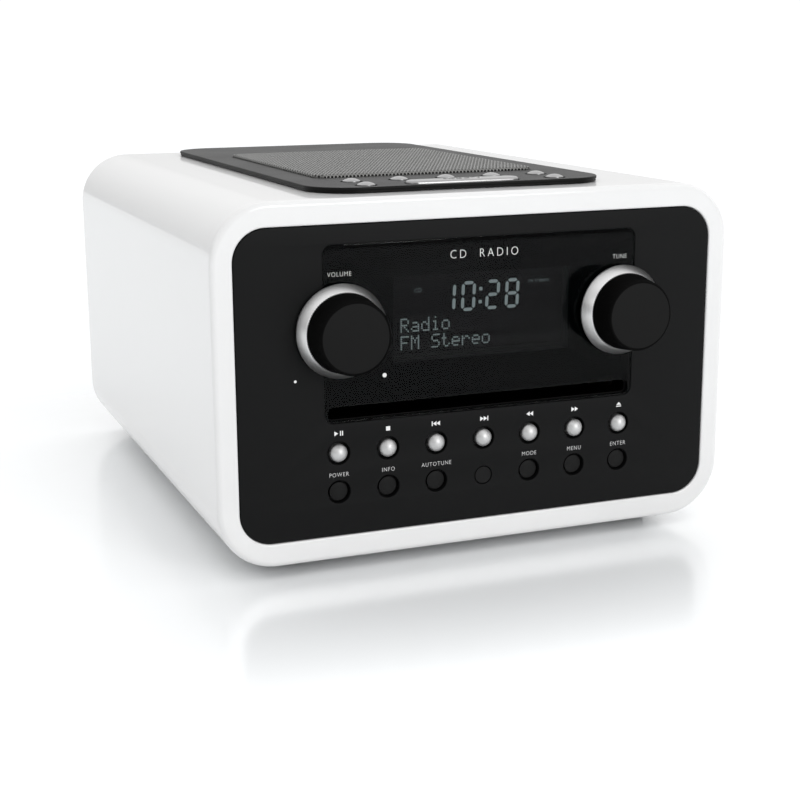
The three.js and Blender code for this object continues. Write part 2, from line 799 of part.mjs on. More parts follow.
function makeDriveDeck() {
  const base = cut(
    block(-DECK.halfWidth, DECK.halfWidth, DECK.front, DECK.back, DECK_BOTTOM, DECK_TOP),
    block(
      -SLED_BAY.halfWidth,
      SLED_BAY.halfWidth,
      SLED_BAY.front,
      SLED_BAY.back,
      DECK_BOTTOM - 1,
      DECK_TOP + 1,
    ),
  );
  const motor = turnedAlongZ(rod(MOTOR.radius, DECK_TOP - 0.3, MOTOR.top), 0, SPINDLE_Y, 16);
  const rails = [-1, 1].map((side) =>
    block(
      side * RAIL.x - RAIL.halfWidth,
      side * RAIL.x + RAIL.halfWidth,
      SLED_BAY.front,
      SLED_BAY.back,
      DECK_TOP - 0.3,
      RAIL.top,
    ),
  );
  const grommets = [-1, 1].flatMap((side) =>
    [DECK.front + 8, DECK.back - 9].map((y) => {
      const grommet = rod(3, DRIVE.bottom + DRIVE.sheet + GAP, DECK_BOTTOM + 0.2);
      return turnedAlongZ(grommet, side * DECK.grommetX, y, 8);
    }),
  );
  return join(base, motor, ...rails, ...grommets);
}

const HUB = { platter: 14, radius: 7.2 };

function makeTurntable() {
  const top = DISC_CLEARANCE_BOTTOM - GAP;
  const bottom = MOTOR.top + GAP;
  const platterTop = bottom + 1.9;
  const outline = [
    [0, bottom],
    [HUB.platter, bottom],
    [HUB.platter, platterTop],
    [HUB.radius + 0.2, platterTop],
    [HUB.radius, top - 0.6],
    [HUB.radius - 1, top],
    [0, top],
  ];
  return turnedAlongZ(outline, 0, SPINDLE_Y, 20);
}

const SLED = { halfWidth: 22, front: 108, back: 128, bottom: 47.8, top: 52.6, lens: 3.5 };

function makeLaserSled() {
  const { halfWidth, front, back, bottom, top } = SLED;
  const lens = turnedAlongZ(rod(SLED.lens, top - 0.5, top + 1.6), 0, (front + back) / 2, 12);
  return join(
    block(-halfWidth, halfWidth, front, back, bottom, top),
    block(-13, 13, front + 2, back - 2, DECK_BOTTOM - 1, bottom + 0.5),
    lens,
  );
}

function makeFeedRoller() {
  const { radius, axle, half } = ROLLER;
  const reach = DRIVE.halfWidth - DRIVE.sheet - GAP;
  const outline = [
    [0, -reach],
    [axle, -reach],
    [axle, -half],
    [radius, -half],
    [radius, half],
    [axle, half],
    [axle, reach],
    [0, reach],
  ];
  return turnedAlongX(outline, ROLLER_Y, DISC_CLEARANCE_BOTTOM - GAP - radius, 12);
}

place("disc_drive_chassis", makeDriveChassis(), steel);
place("disc_drive_deck", makeDriveDeck(), greyPlastic);
place("disc_turntable", makeTurntable(), blackPanel);
place("laser_sled", makeLaserSled(), greyPlastic);
place("feed_roller", makeFeedRoller(), rubber);

// ---------------------------------------------------------------- main electronics

const BOARD_BOTTOM = FLOOR + 6;
const BOARD_TOP = BOARD_BOTTOM + 1.6;
const MAIN_BOARD = { x: 13, y: 146, width: 98, length: 186 };
const STANDOFF = { x: 43, y: 86, radius: 3 }; // from the board's middle
const CAPACITOR = { x: -20, radius: 6, height: 16 };
const HEAT_SINK = { left: -8, front: 150, back: 185, fin: 2, pitch: 5, height: 15 };

function makeMainBoard() {
  const { x, y, width, length } = MAIN_BOARD;
  const board = slab(roundedRectangle(width, length, 2, x, y), BOARD_BOTTOM, BOARD_TOP, 0, 3);
  const sink = BOARD_TOP - 0.2;
  const standoff = rod(STANDOFF.radius, FLOOR + GAP, BOARD_BOTTOM + 0.2);
  const standoffs = [-1, 1].flatMap((side) =>
    [-1, 1].map((end) =>
      turnedAlongZ(standoff, x + side * STANDOFF.x, y + end * STANDOFF.y, 6),
    ),
  );
  const can = rod(CAPACITOR.radius, sink, BOARD_TOP + CAPACITOR.height);
  const capacitors = [70, 88, 106].map((at) => turnedAlongZ(can, CAPACITOR.x, at, 10));
  const { left, front, back, fin, pitch, height } = HEAT_SINK;
  const amplifierFins = [0, 1, 2, 3, 4].map((i) =>
    block(left + i * pitch, left + i * pitch + fin, front, back, sink, BOARD_TOP + height),
  );
  const shieldCan = block(20, 56, 80, 120, sink, BOARD_TOP + 5);
  const processor = block(30, 50, 140, 160, sink, BOARD_TOP + 2);
  const heatSinkBase = block(left, left + 4 * pitch + fin, front, back, sink, BOARD_TOP + 2);
  return join(
    board,
    heatSinkBase,
    shieldCan,
    processor,
    ...standoffs,
    ...capacitors,
    ...amplifierFins,
  );
}

const TRANSFORMER = { left: -88, right: -42, front: 180, back: 230, top: 46 };

function makeTransformer() {
  const { left, right, front, back, top } = TRANSFORMER;
  const core = block(left, right, front, back, FLOOR + GAP, top);
  const bobbin = block(left + 4, right - 4, front - 8, back + 8, FLOOR + 6.5, top - 6);
  return join(core, bobbin);
}

const SOCKET_Z = 27;
const AERIAL_X = 40;

place("main_board", makeMainBoard(), circuitGreen);
place("power_transformer", makeTransformer(), copperBrown);
place("tuner_module", block(20, 59, 194, 236, BOARD_TOP + GAP, BOARD_TOP + 16), steel);

// ---------------------------------------------------------------- rear panel and its sockets

const HEADPHONE_X = -10;
const LINE_X = 12;
const INLET_X = -66;
const INLET = { width: 22, height: 13, recessWidth: 15.6, recessHeight: 8.6, pinX: 4.3 };
const JACK = { half: 5.5, bushing: 4.1, nut: 5.4, bore: 1.8, inner: 243 };
const AERIAL = { radius: 4.75, body: 7, nut: 7.5, bore: 1.2, inner: 246 };
const SOCKET_FACE = CABINET_DEPTH + 1.2;
const socketFlangeFront = rearPanelBack + GAP;

function makeRearPanel() {
  const outline = roundedRectangle(
    openingWidth - 2 * GAP,
    openingHeight - 2 * GAP,
    OPENING_CORNER - GAP,
    0,
    openingMiddle,
  );
  outline.holes.push(
    roundedRectangle(INLET.width + 2 * GAP, INLET.height + 2 * GAP, 1, INLET_X, SOCKET_Z),
    disc(JACK.bushing + 0.4, HEADPHONE_X, SOCKET_Z),
    disc(JACK.bushing + 0.4, LINE_X, SOCKET_Z),
    disc(AERIAL.radius + 0.45, AERIAL_X, SOCKET_Z),
  );
  return plate(outline, rearPanelFront, rearPanelBack, 0, 4);
}

function makeMainsInlet() {
  const recess = roundedRectangle(
    INLET.recessWidth,
    INLET.recessHeight,
    INLET.recessHeight / 2 - 0.4,
    INLET_X,
    SOCKET_Z,
  );
  const recessEnd = SOCKET_FACE - 12.5;
  const body = join(
    plate(
      roundedRectangle(INLET.width, INLET.height, 1, INLET_X, SOCKET_Z),
      rearPanelFront - 14,
      SOCKET_FACE,
      0,
      2,
    ),
    plate(
      roundedRectangle(INLET.width + 6, INLET.height + 6, 2, INLET_X, SOCKET_Z),
      socketFlangeFront,
      SOCKET_FACE,
      0,
      3,
    ),
  );
  const pins = [-1, 1].map((side) =>
    turnedAlongY(
      rod(1.2, recessEnd - 0.5, SOCKET_FACE - 2),
      INLET_X + side * INLET.pinX,
      SOCKET_Z,
      8,
    ),
  );
  return join(cut(body, plate(recess, recessEnd, SOCKET_FACE + 1, 0, 3)), ...pins);
}

function makeJackSocket(x) {
  const { half, inner } = JACK;
  const inside = rearPanelFront - GAP;
  const body = block(x - half, x + half, inner, inside, SOCKET_Z - half + 0.5, SOCKET_Z + half - 0.5);
  const bushing = turnedAlongY(rod(JACK.bushing, rearPanelFront - 1, SOCKET_FACE), x, SOCKET_Z, 12);
  const nut = turnedAlongY(rod(JACK.nut, socketFlangeFront, SOCKET_FACE - 0.3), x, SOCKET_Z, 6);
  const bore = turnedAlongY(rod(JACK.bore, inner + 3, SOCKET_FACE + 1), x, SOCKET_Z, 8);
  return cut(join(body, bushing, nut), bore);
}

function makeAerialSocket() {
  const outline = [
    [0, AERIAL.inner],
    [AERIAL.body, AERIAL.inner],
    [AERIAL.body, rearPanelFront - GAP],
    [AERIAL.radius, rearPanelFront - GAP],
    [AERIAL.radius, CABINET_DEPTH + REAR_REACH],
    [AERIAL.bore, CABINET_DEPTH + REAR_REACH],
    [AERIAL.bore, CABINET_DEPTH],
    [0, CABINET_DEPTH],
  ];
  const ring = rod(AERIAL.nut, socketFlangeFront, SOCKET_FACE + 1);
  const nut = turnedAlongY(ring, AERIAL_X, SOCKET_Z, 6);
  const hole = rod(AERIAL.bore, CABINET_DEPTH, CABINET_DEPTH + REAR_REACH + 1);
  const bore = turnedAlongY(hole, AERIAL_X, SOCKET_Z, 8);
  return cut(join(turnedAlongY(outline, AERIAL_X, SOCKET_Z, 12), nut), bore);
}

place("rear_panel", makeRearPanel(), blackPanel);
place("mains_inlet", makeMainsInlet(), blackPanel);
place("headphone_socket", makeJackSocket(HEADPHONE_X), blackPanel);
place("line_socket", makeJackSocket(LINE_X), blackPanel);
place("aerial_socket", makeAerialSocket(), steel);

export default group;
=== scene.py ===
"""A tabletop CD radio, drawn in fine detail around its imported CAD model.

The pieces are modelled in millimetres in the cabinet's own frame: X to the right, Y from the cabinet's
front edge to its back, Z up from the cabinet's underside. piece() moves them to the model's frame.
"""

import math

import bmesh
import bpy
from mathutils import Matrix, Vector


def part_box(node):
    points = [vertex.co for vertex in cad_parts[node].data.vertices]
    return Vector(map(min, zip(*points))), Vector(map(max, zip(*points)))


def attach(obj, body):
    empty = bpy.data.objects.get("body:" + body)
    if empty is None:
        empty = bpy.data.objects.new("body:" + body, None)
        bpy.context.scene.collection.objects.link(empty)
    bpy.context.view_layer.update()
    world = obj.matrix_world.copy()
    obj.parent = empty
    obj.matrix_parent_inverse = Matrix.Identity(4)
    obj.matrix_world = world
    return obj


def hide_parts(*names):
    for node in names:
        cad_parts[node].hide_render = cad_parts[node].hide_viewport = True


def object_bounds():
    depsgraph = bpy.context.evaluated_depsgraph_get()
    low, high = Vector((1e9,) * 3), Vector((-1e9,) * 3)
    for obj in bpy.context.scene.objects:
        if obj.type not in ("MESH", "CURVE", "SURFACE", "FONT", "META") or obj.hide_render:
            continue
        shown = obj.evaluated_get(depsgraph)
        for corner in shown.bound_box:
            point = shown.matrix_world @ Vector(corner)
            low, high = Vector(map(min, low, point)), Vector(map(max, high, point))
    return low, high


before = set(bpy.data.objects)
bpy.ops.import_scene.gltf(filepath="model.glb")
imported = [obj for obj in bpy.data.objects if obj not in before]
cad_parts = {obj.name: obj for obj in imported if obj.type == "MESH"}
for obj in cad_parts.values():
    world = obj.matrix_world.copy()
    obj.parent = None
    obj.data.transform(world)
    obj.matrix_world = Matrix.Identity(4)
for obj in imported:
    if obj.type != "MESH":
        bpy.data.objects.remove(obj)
cad_low, cad_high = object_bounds()

# ---------------------------------------------------------------- the cabinet's frame

MM = 0.001
ORIGIN = Vector((0.0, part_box("cabinet_shell")[0].y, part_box("cabinet_shell")[0].z))
TO_MODEL = Matrix.Translation(ORIGIN) @ Matrix.Scale(MM, 4)


def span(node):
    """A CAD node's lowest and highest corners in the cabinet's frame, in millimetres."""
    low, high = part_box(node)
    return (low - ORIGIN) / MM, (high - ORIGIN) / MM


def middle(node):
    low, high = span(node)
    return (low + high) / 2


def size(node):
    low, high = span(node)
    return high - low


# ---------------------------------------------------------------- driving dimensions

GAP = 0.3  # clearance between neighbouring pieces
CABINET = size("cabinet_shell")
CABINET_CORNER = 23.4
SIDE_WALL = 8.5
TOP_WALL = 9.5
OPENING_CORNER = 13
OPENING_WIDTH = CABINET.x - 2 * SIDE_WALL
OPENING_HEIGHT = CABINET.z - 2 * TOP_WALL
OPENING_MIDDLE = CABINET.z / 2

PANEL_FRONT = span("front_panel")[0].y
PANEL_BACK = PANEL_FRONT + 3
WINDOW_LOW, WINDOW_HIGH = span("display_window")
WINDOW_CORNER = 3.5
LEDGE = WINDOW_HIGH.y + GAP
SLOT_LOW, SLOT_HIGH = span("disc_slot_guide")
SLOT_Z = (SLOT_LOW.z + SLOT_HIGH.z) / 2
SLOT_WIDTH = SLOT_HIGH.x - SLOT_LOW.x - 6
SLOT_HEIGHT = 4.6
SLOT_CORNER = 1.6
TUNNEL_LOW, TUNNEL_HIGH = span("display_surround")
TUNNEL_WALL = 3
DISPLAY_WIDTH = TUNNEL_HIGH.x - TUNNEL_LOW.x - 2 * TUNNEL_WALL
DISPLAY_HEIGHT = TUNNEL_HIGH.z - TUNNEL_LOW.z - 2 * TUNNEL_WALL
DISPLAY_Z = (TUNNEL_LOW.z + TUNNEL_HIGH.z) / 2
DISPLAY_FACE = span("display_module")[0].y

KNOB_X = middle("tune_knob_cap").x
KNOB_Z = middle("tune_knob_cap").z
KNOB_FACE = -span("tune_knob_cap")[0].y
SHAFT_HOLE_RADIUS = 4.6

BUTTON_HOLE_RADIUS = 4.65
TRANSPORT_RADIUS = 3.5
FUNCTION_RADIUS = 3.7
FUNCTION_RECESS = 1.2
TRANSPORT_BUTTONS = ("play_pause", "stop", "previous", "next", "rewind", "forward", "eject")
SENSOR_RADIUS = 3.5
FUNCTION_BUTTONS = ("power", "info", "autotune", "mode", "menu", "enter")
TRANSPORT_Z = middle("button_stop").z
FUNCTION_Z = middle("button_info").z
BUTTON_PITCH = middle("button_next").x - middle("button_previous").x

COVER_LOW, COVER_HIGH = span("top_cover")
COVER_TOP = COVER_HIGH.z
COVER_UNDERSIDE = CABINET.z + GAP
COVER_CORNER = 19
GRILLE_LOW, GRILLE_HIGH = span("speaker_grille")
GRILLE_CORNER = 5
GRILLE_LEDGE = 3
GRILLE_LEDGE_TOP = GRILLE_LOW.z - GAP
TOP_BUTTONS = tuple(f"top_button_{i}" for i in (1, 2, 3, 4, 5, "left", "right"))
TOP_HOLE_RADIUS = 4.45

# ---------------------------------------------------------------- outlines


def arc(x, y, radius, start, end, steps):
    """Points on an arc, its angles in degrees."""
    angles = (math.radians(start + (end - start) * i / steps) for i in range(steps + 1))
    return [(x + radius * math.cos(a), y + radius * math.sin(a)) for a in angles]


def circle(radius, x=0.0, y=0.0, steps=64):
    return arc(x, y, radius, 0, 360, steps)[:-1]


def rounded_rectangle(width, height, radius, x=0.0, y=0.0, steps=12):
    right, top = width / 2 - radius, height / 2 - radius
    corners = ((right, top, 0), (-right, top, 90), (-right, -top, 180), (right, -top, 270))
    return [
        point
        for dx, dy, start in corners
        for point in arc(x + dx, y + dy, radius, start, start + 90, steps)
    ]


def filleted(points, radius, steps=4):
    """The open outline with each of its inner corners rounded off."""
    made = [points[0]]
    for before, corner, after in zip(points, points[1:], points[2:]):
        here = Vector(corner)
        back, ahead = Vector(before) - here, Vector(after) - here
        reach = min(radius, back.length / 2, ahead.length / 2)
        start, end = here + back.normalized() * reach, here + ahead.normalized() * reach
        for i in range(steps + 1):
            t = i / steps
            made.append(tuple((1 - t) ** 2 * start + 2 * t * (1 - t) * here + t * t * end))
    return [*made, points[-1]]


def dome(radius, base, rise, steps=12):
    """Profile points of a shallow dome, from its edge to its crown."""
    sphere = (radius * radius + rise * rise) / (2 * rise)
    half = math.asin(min(1.0, radius / sphere))
    angles = (half * (1 - i / steps) for i in range(steps + 1))
    return [(sphere * math.sin(a), base + rise - sphere + sphere * math.cos(a)) for a in angles]


# ---------------------------------------------------------------- solids

STROKE_THINNING = -0.2  # for letters drawn 10 high
LETTER_WIDTH = 0.88  # of the typeface's own
RELIEF = 0.03  # how far a printed mark stands proud, twice over
FACING = {
    "front": Matrix.Rotation(math.radians(90), 4, "X"),  # drawn in (x, z), raised towards -Y
    "top": Matrix.Identity(4),  # drawn in (x, y), raised towards +Z
    "back": Matrix.Rotation(math.pi, 4, "Z") @ Matrix.Rotation(math.radians(90), 4, "X"),
}


def evaluated(obj):
    """The object's mesh with its modifiers applied, as a bmesh. The object is removed."""
    graph = bpy.context.evaluated_depsgraph_get()
    mesh = bpy.data.meshes.new_from_object(obj.evaluated_get(graph), depsgraph=graph)
    solid = bmesh.new()
    solid.from_mesh(mesh)
    bpy.data.meshes.remove(mesh)
    bpy.data.objects.remove(obj)
    return solid


def scratch(name, data):
    obj = bpy.data.objects.new(name, data)
    bpy.context.scene.collection.objects.link(obj)
    return obj


def plate(outline, holes, near, far, rounding=0.0, steps=3, facing="front"):
    """A flat plate with holes, from near to far along Y or Z, its edges rounded over."""
    curve = bpy.data.curves.new("plate", "CURVE")
    curve.dimensions = "2D"
    curve.fill_mode = "BOTH"
    curve.extrude = abs(far - near) / 2 - rounding
    curve.bevel_depth = rounding
    curve.bevel_resolution = steps
    curve.offset = -rounding
    for loop in (outline, *holes):
        spline = curve.splines.new("POLY")
        spline.points.add(len(loop) - 1)
        for point, (x, y) in zip(spline.points, loop):
            point.co = (x, y, 0, 1)
        spline.use_cyclic_u = True
    solid = evaluated(scratch("plate", curve))
    bpy.data.curves.remove(curve)
    bmesh.ops.remove_doubles(solid, verts=solid.verts, dist=1e-4)
    along = Vector((0, 0, 1)) if facing == "top" else Vector((0, 1, 0))
    solid.transform(Matrix.Translation(along * (near + far) / 2) @ FACING[facing])
    return solid


def turned(profile, x, y, segments=64, facing="front"):
    """A turned piece. Its profile is (radius, height), the height measured the way it faces."""
    solid = bmesh.new()
    rings = []
    for radius, height in profile:
        if radius < 1e-6:
            rings.append([solid.verts.new((0, 0, height))])
            continue
        ring = []
        for i in range(segments):
            angle = 2 * math.pi * i / segments
            ring.append(
                solid.verts.new((radius * math.cos(angle), radius * math.sin(angle), height))
            )
        rings.append(ring)
    closed = len(rings[0]) > 1
    pairs = list(zip(rings, rings[1:]))
    if closed:
        pairs.append((rings[-1], rings[0]))
    for lower, upper in pairs:
        for i in range(segments):
            j = (i + 1) % segments
            corners = [
                lower[i % len(lower)],
                lower[j % len(lower)],
                upper[j % len(upper)],
                upper[i % len(upper)],
            ]
            face = list(dict.fromkeys(corners))
            if len(face) > 2:
                solid.faces.new(face)
    place = (x, y, 0) if facing == "top" else (x, 0, y)
    solid.transform(Matrix.Translation(place) @ FACING[facing])
    return solid


def box(low, high):
    """A block between two corners."""
    solid = bmesh.new()
    low, high = Vector(low), Vector(high)
    middle_point, extent = (low + high) / 2, high - low
    bmesh.ops.create_cube(
        solid,
        size=1,
        matrix=Matrix.Translation(middle_point) @ Matrix.Diagonal((*extent, 1)),
    )
    return solid


def together(*solids):
    """Several solids as one piece, not joined."""
    whole = bmesh.new()
    for solid in solids:
        mesh = bpy.data.meshes.new("part")
        solid.to_mesh(mesh)
        solid.free()
        whole.from_mesh(mesh)
        bpy.data.meshes.remove(mesh)
    return whole


def outward(solid):
    bmesh.ops.recalc_face_normals(solid, faces=solid.faces)
    return solid


def combined(base, operation, *tools):
    """The base joined with the tools, or cut by them."""
    for tool in tools:
        meshes = [bpy.data.meshes.new("operand") for _ in range(2)]
        for mesh, solid in zip(meshes, (base, tool)):
            outward(solid).to_mesh(mesh)
            solid.free()
        first, second = (scratch("operand", mesh) for mesh in meshes)
        modifier = first.modifiers.new("boolean", "BOOLEAN")
        modifier.operation = operation
        modifier.solver = "EXACT"
        modifier.object = second
        base = evaluated(first)
        bpy.data.objects.remove(second)
        for mesh in meshes:
            bpy.data.meshes.remove(mesh)
    return base


def lettering(words, height, x, y, surface, facing="front", relief=RELIEF, spacing=1.18):
    """Capitals or digits of that height, centred on (x, y) and raised from a surface."""
    text = bpy.data.curves.new("lettering", "FONT")
    text.body = words
    text.size = 10
    text.space_character = spacing
    text.offset = STROKE_THINNING
    text.resolution_u = 3
    text.extrude = 1
    solid = evaluated(scratch("lettering", text))
    bpy.data.curves.remove(text)
    bmesh.ops.remove_doubles(solid, verts=solid.verts, dist=1e-4)
    xs = [v.co.x for v in solid.verts]
    ys = [v.co.y for v in solid.verts]
    scale = height / (max(ys) - min(ys))
    centre = Vector(((max(xs) + min(xs)) / 2, (max(ys) + min(ys)) / 2, 0))
    slim = Matrix.Diagonal((LETTER_WIDTH * scale, scale, relief / 2, 1))
    solid.transform(slim @ Matrix.Translation(-centre))
    place = (x, y, surface) if facing == "top" else (x, surface, y)
    solid.transform(Matrix.Translation(place) @ FACING[facing])
    return solid


def prism(outline, surface, facing="front", relief=RELIEF):
    """A flat printed mark, standing a little proud of a surface."""
    sign = -1 if facing == "front" else 1
    return plate(outline, (), surface - sign * relief / 2, surface + sign * relief / 2, facing=facing)


# ---------------------------------------------------------------- finishes


def finish(name, colour, roughness, metallic=0.0, **extra):
    """A procedural material: mottled colour and roughness, and a fine bump.

    grain is the bump's size in millimetres, relief its strength, spread and mottle how far the
    roughness and the colour wander, and stretch draws the grain out along an axis."""
    grain = extra.get("grain", 0.25)
    relief = extra.get("relief", 0.1)
    spread = extra.get("spread", 0.05)
    mottle = extra.get("mottle", 0.04)
    patch = extra.get("patch", 18.0)
    stretch = extra.get("stretch", (1, 1, 1))
    material = bpy.data.materials.new(name)
    material.use_nodes = True
    nodes, links = material.node_tree.nodes, material.node_tree.links
    shader = nodes["Principled BSDF"]
    place = nodes.new("ShaderNodeTexCoord")
    mapping = nodes.new("ShaderNodeMapping")
    mapping.inputs["Scale"].default_value = stretch
    links.new(place.outputs["Object"], mapping.inputs["Vector"])

    def noise(feature, detail):
        made = nodes.new("ShaderNodeTexNoise")
        made.inputs["Scale"].default_value = 1 / (feature * MM)
        made.inputs["Detail"].default_value = detail
        links.new(mapping.outputs["Vector"], made.inputs["Vector"])
        return made.outputs["Fac"]

    fine, coarse = noise(grain, 2), noise(patch, 5)
    bump = nodes.new("ShaderNodeBump")
    bump.inputs["Strength"].default_value = relief
    bump.inputs["Distance"].default_value = grain * MM
    links.new(fine, bump.inputs["Height"])
    links.new(bump.outputs["Normal"], shader.inputs["Normal"])

    rough = nodes.new("ShaderNodeMapRange")
    rough.inputs["To Min"].default_value = max(0.0, roughness - spread)
    rough.inputs["To Max"].default_value = min(1.0, roughness + spread)
    links.new(coarse, rough.inputs["Value"])
    links.new(rough.outputs["Result"], shader.inputs["Roughness"])

    tint = nodes.new("ShaderNodeMix")
    tint.data_type = "RGBA"
    tint.inputs["A"].default_value = (*(c * (1 - mottle) for c in colour), 1)
    tint.inputs["B"].default_value = (*(min(1.0, c * (1 + mottle)) for c in colour), 1)
    links.new(coarse, tint.inputs["Factor"])
    links.new(tint.outputs["Result"], shader.inputs["Base Color"])

    shader.inputs["Metallic"].default_value = metallic
    for socket, value in extra.get("shader", {}).items():
        shader.inputs[socket].default_value = value
    return material


def grey(value, blue=0.0):
    return (value, value + blue / 2, value + blue)


FINISHES = {
    "white_lacquer": finish(
        "white_lacquer", grey(0.70), 0.3, grain=1.6, relief=0.015, mottle=0.01, spread=0.04,
        shader={"Coat Weight": 0.6, "Coat Roughness": 0.05, "Specular IOR Level": 0.3},
    ),
    "rubber": finish("rubber", grey(0.03), 0.8, grain=0.5, relief=0.3, spread=0.1),
    "panel_black": finish(
        "panel_black", grey(0.0046, 0.0003), 0.5, grain=0.22, relief=0.12, mottle=0.06,
        shader={"Specular IOR Level": 0.095},
    ),
    "window_gloss": finish(
        "window_gloss", (0.0004, 0.0008, 0.0008), 0.05, grain=6, relief=0.003, spread=0.02, patch=60,
        shader={"Specular IOR Level": 0.15, "Alpha": 0.5},
    ),
    "window_print": finish(
        "window_print", grey(0.0008, 0.0004), 0.7, grain=0.2, relief=0.1,
        shader={"Specular IOR Level": 0.02},
    ),
    "display_grey": finish(
        "display_grey", grey(0.05, 0.006), 0.55, grain=0.2, relief=0.1,
        shader={"Specular IOR Level": 0.15},
    ),
    "display_dark": finish(
        "display_dark", (0.016, 0.0135, 0.017), 0.3, grain=0.3, relief=0.05, spread=0.05,
        shader={"Specular IOR Level": 0.05},
    ),
    "knob_black": finish(
        "knob_black", grey(0.0055), 0.55, grain=0.2, relief=0.15, mottle=0.08,
        shader={"Specular IOR Level": 0.09},
    ),
    "knob_aluminium": finish(
        "knob_aluminium", grey(0.67), 0.3, 1.0, grain=0.12, relief=0.04, spread=0.03, mottle=0.02,
    ),
    "steel": finish("steel", grey(0.42, 0.02), 0.38, 1.0, grain=0.6, relief=0.1, stretch=(1, 0.2, 1)),
    "magnet_iron": finish("magnet_iron", grey(0.16), 0.5, 0.8, grain=0.4, relief=0.2),
    "cone_paper": finish("cone_paper", grey(0.02), 0.85, grain=0.4, relief=0.5, mottle=0.15),
    "button_silver": finish(
        "button_silver", grey(0.56), 0.48, 0.9, grain=0.15, relief=0.05, spread=0.04,
    ),
    "button_black": finish(
        "button_black", grey(0.005), 0.42, grain=0.2, relief=0.1,
        shader={"Specular IOR Level": 0.12},
    ),
    "circuit_board": finish(
        "circuit_board", (0.02, 0.11, 0.05), 0.4, grain=0.8, relief=0.2, mottle=0.2, patch=3,
    ),
    "cover_black": finish(
        "cover_black", (0.0065, 0.0065, 0.006), 0.42, grain=0.25, relief=0.12, mottle=0.06,
        shader={"Specular IOR Level": 0.085},
    ),
    "grille_steel": finish(
        "grille_steel", (0.175, 0.175, 0.17), 0.4, 0.7, grain=0.2, relief=0.1, mottle=0.05,
    ),
    "socket_black": finish("socket_black", grey(0.02), 0.5, grain=0.3, relief=0.15),
}
# Near-black with no gloss: painted shade for the inside of the disc slot, used on the slot guide and
# on the feed roller seen through it.
SLOT_PAINTED_SHADE = finish(
    "slot_painted_shade", grey(0.0006), 0.9, grain=0.3, relief=0.2, shader={"Specular IOR Level": 0.0}
)
# A darker copy of the front buttons' silver for the keys on top: painted shade on the same metal, for
# silver that faces upwards.
TOP_SILVER_PAINTED_SHADE = finish("top_silver_painted_shade", grey(0.34), 0.3, 1.0, grain=0.15, relief=0.05, spread=0.04)
# A darker, duller copy of the knob's black for the knob's side: painted shade on the same plastic as
# its face disc.
GRIP_PAINTED_SHADE = finish(
    "grip_painted_shade", grey(0.0018), 0.6, grain=0.2, relief=0.2, shader={"Specular IOR Level": 0.03}
)
INK_WHITE = finish("ink_white", grey(0.75), 0.6, grain=0.1, relief=0.1)
LCD_GLOW = finish(
    "lcd_glow", (0.30, 0.36, 0.37), 0.5, grain=0.1, relief=0.05,
    shader={"Emission Color": (0.56, 0.68, 0.70, 1), "Emission Strength": 1.0},
)


def piece(name, solid, slot, body="radio", stands_for=(), sharp=32.0, paint=None):
    """Moves a solid to the model's frame and names, paints and mounts it."""
    outward(solid).transform(TO_MODEL)
    mesh = bpy.data.meshes.new(name)
    solid.to_mesh(mesh)
    solid.free()
    mesh.materials.append(paint or FINISHES[slot])
    mesh.shade_smooth()
    mesh.set_sharp_from_angle(angle=math.radians(sharp))
    obj = scratch(name, mesh)
    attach(obj, body)
    if stands_for:
        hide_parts(*stands_for)
    return obj


# ---------------------------------------------------------------- cabinet and feet

OUTER_ROUNDING = 2.2
INNER_ROUNDING = 0.8
BAY_WIDTH = 104
BAY_FRONT, BAY_BACK = 15.5, 46
SPEAKER_HOLE_RADIUS = 40.5
SPEAKER_REBATE_RADIUS = 48.2
SPEAKER_REBATE_DEPTH = 3
SPEAKER_Y = middle("speaker_basket").y


def outer_outline(inset):
    width, height = CABINET.x - 2 * inset, CABINET.z - 2 * inset
    return rounded_rectangle(width, height, CABINET_CORNER - inset, 0, OPENING_MIDDLE, 20)


def inner_outline(outset):
    width, height = OPENING_WIDTH + 2 * outset, OPENING_HEIGHT + 2 * outset
    return rounded_rectangle(width, height, OPENING_CORNER + outset, 0, OPENING_MIDDLE, 20)


def half_sleeve_sections(side):
    """Sections from the middle of the inner wall, round one rim, to the middle of the outer wall."""
    rim = 0 if side < 0 else CABINET.y
    inward = -side
    angles = [math.radians(90 * i / 6) for i in range(7)]
    made = [(inner_outline(0), rim + inward * 3)]
    for a in angles:
        outset = INNER_ROUNDING * (1 - math.cos(a))
        made.append((inner_outline(outset), rim + inward * INNER_ROUNDING * (1 - math.sin(a))))
    lip, edge = inner_outline(INNER_ROUNDING), outer_outline(OUTER_ROUNDING)
    for t in (0.15, 0.5, 0.85):
        between = [
            (a + (c - a) * t, b + (d - b) * t) for (a, b), (c, d) in zip(lip, edge)
        ]
        made.append((between, rim))
    for a in reversed(angles):
        inset = OUTER_ROUNDING * (1 - math.cos(a))
        made.append((outer_outline(inset), rim + inward * OUTER_ROUNDING * (1 - math.sin(a))))
    made.append((outer_outline(0), rim + inward * 8))
    return made


def sleeve():
    """The wooden sleeve: a rounded rectangular tube with softened rims."""
    sections = [*half_sleeve_sections(-1), *reversed(half_sleeve_sections(1))]
    solid = bmesh.new()
    loops = [[solid.verts.new((x, y, z)) for x, z in outline] for outline, y in sections]
    count = len(loops[0])
    for near, far in zip(loops, [*loops[1:], loops[0]]):
        for i in range(count):
            j = (i + 1) % count
            solid.faces.new((near[i], near[j], far[j], far[i]))
    bmesh.ops.remove_doubles(solid, verts=solid.verts, dist=1e-4)
    return outward(solid)


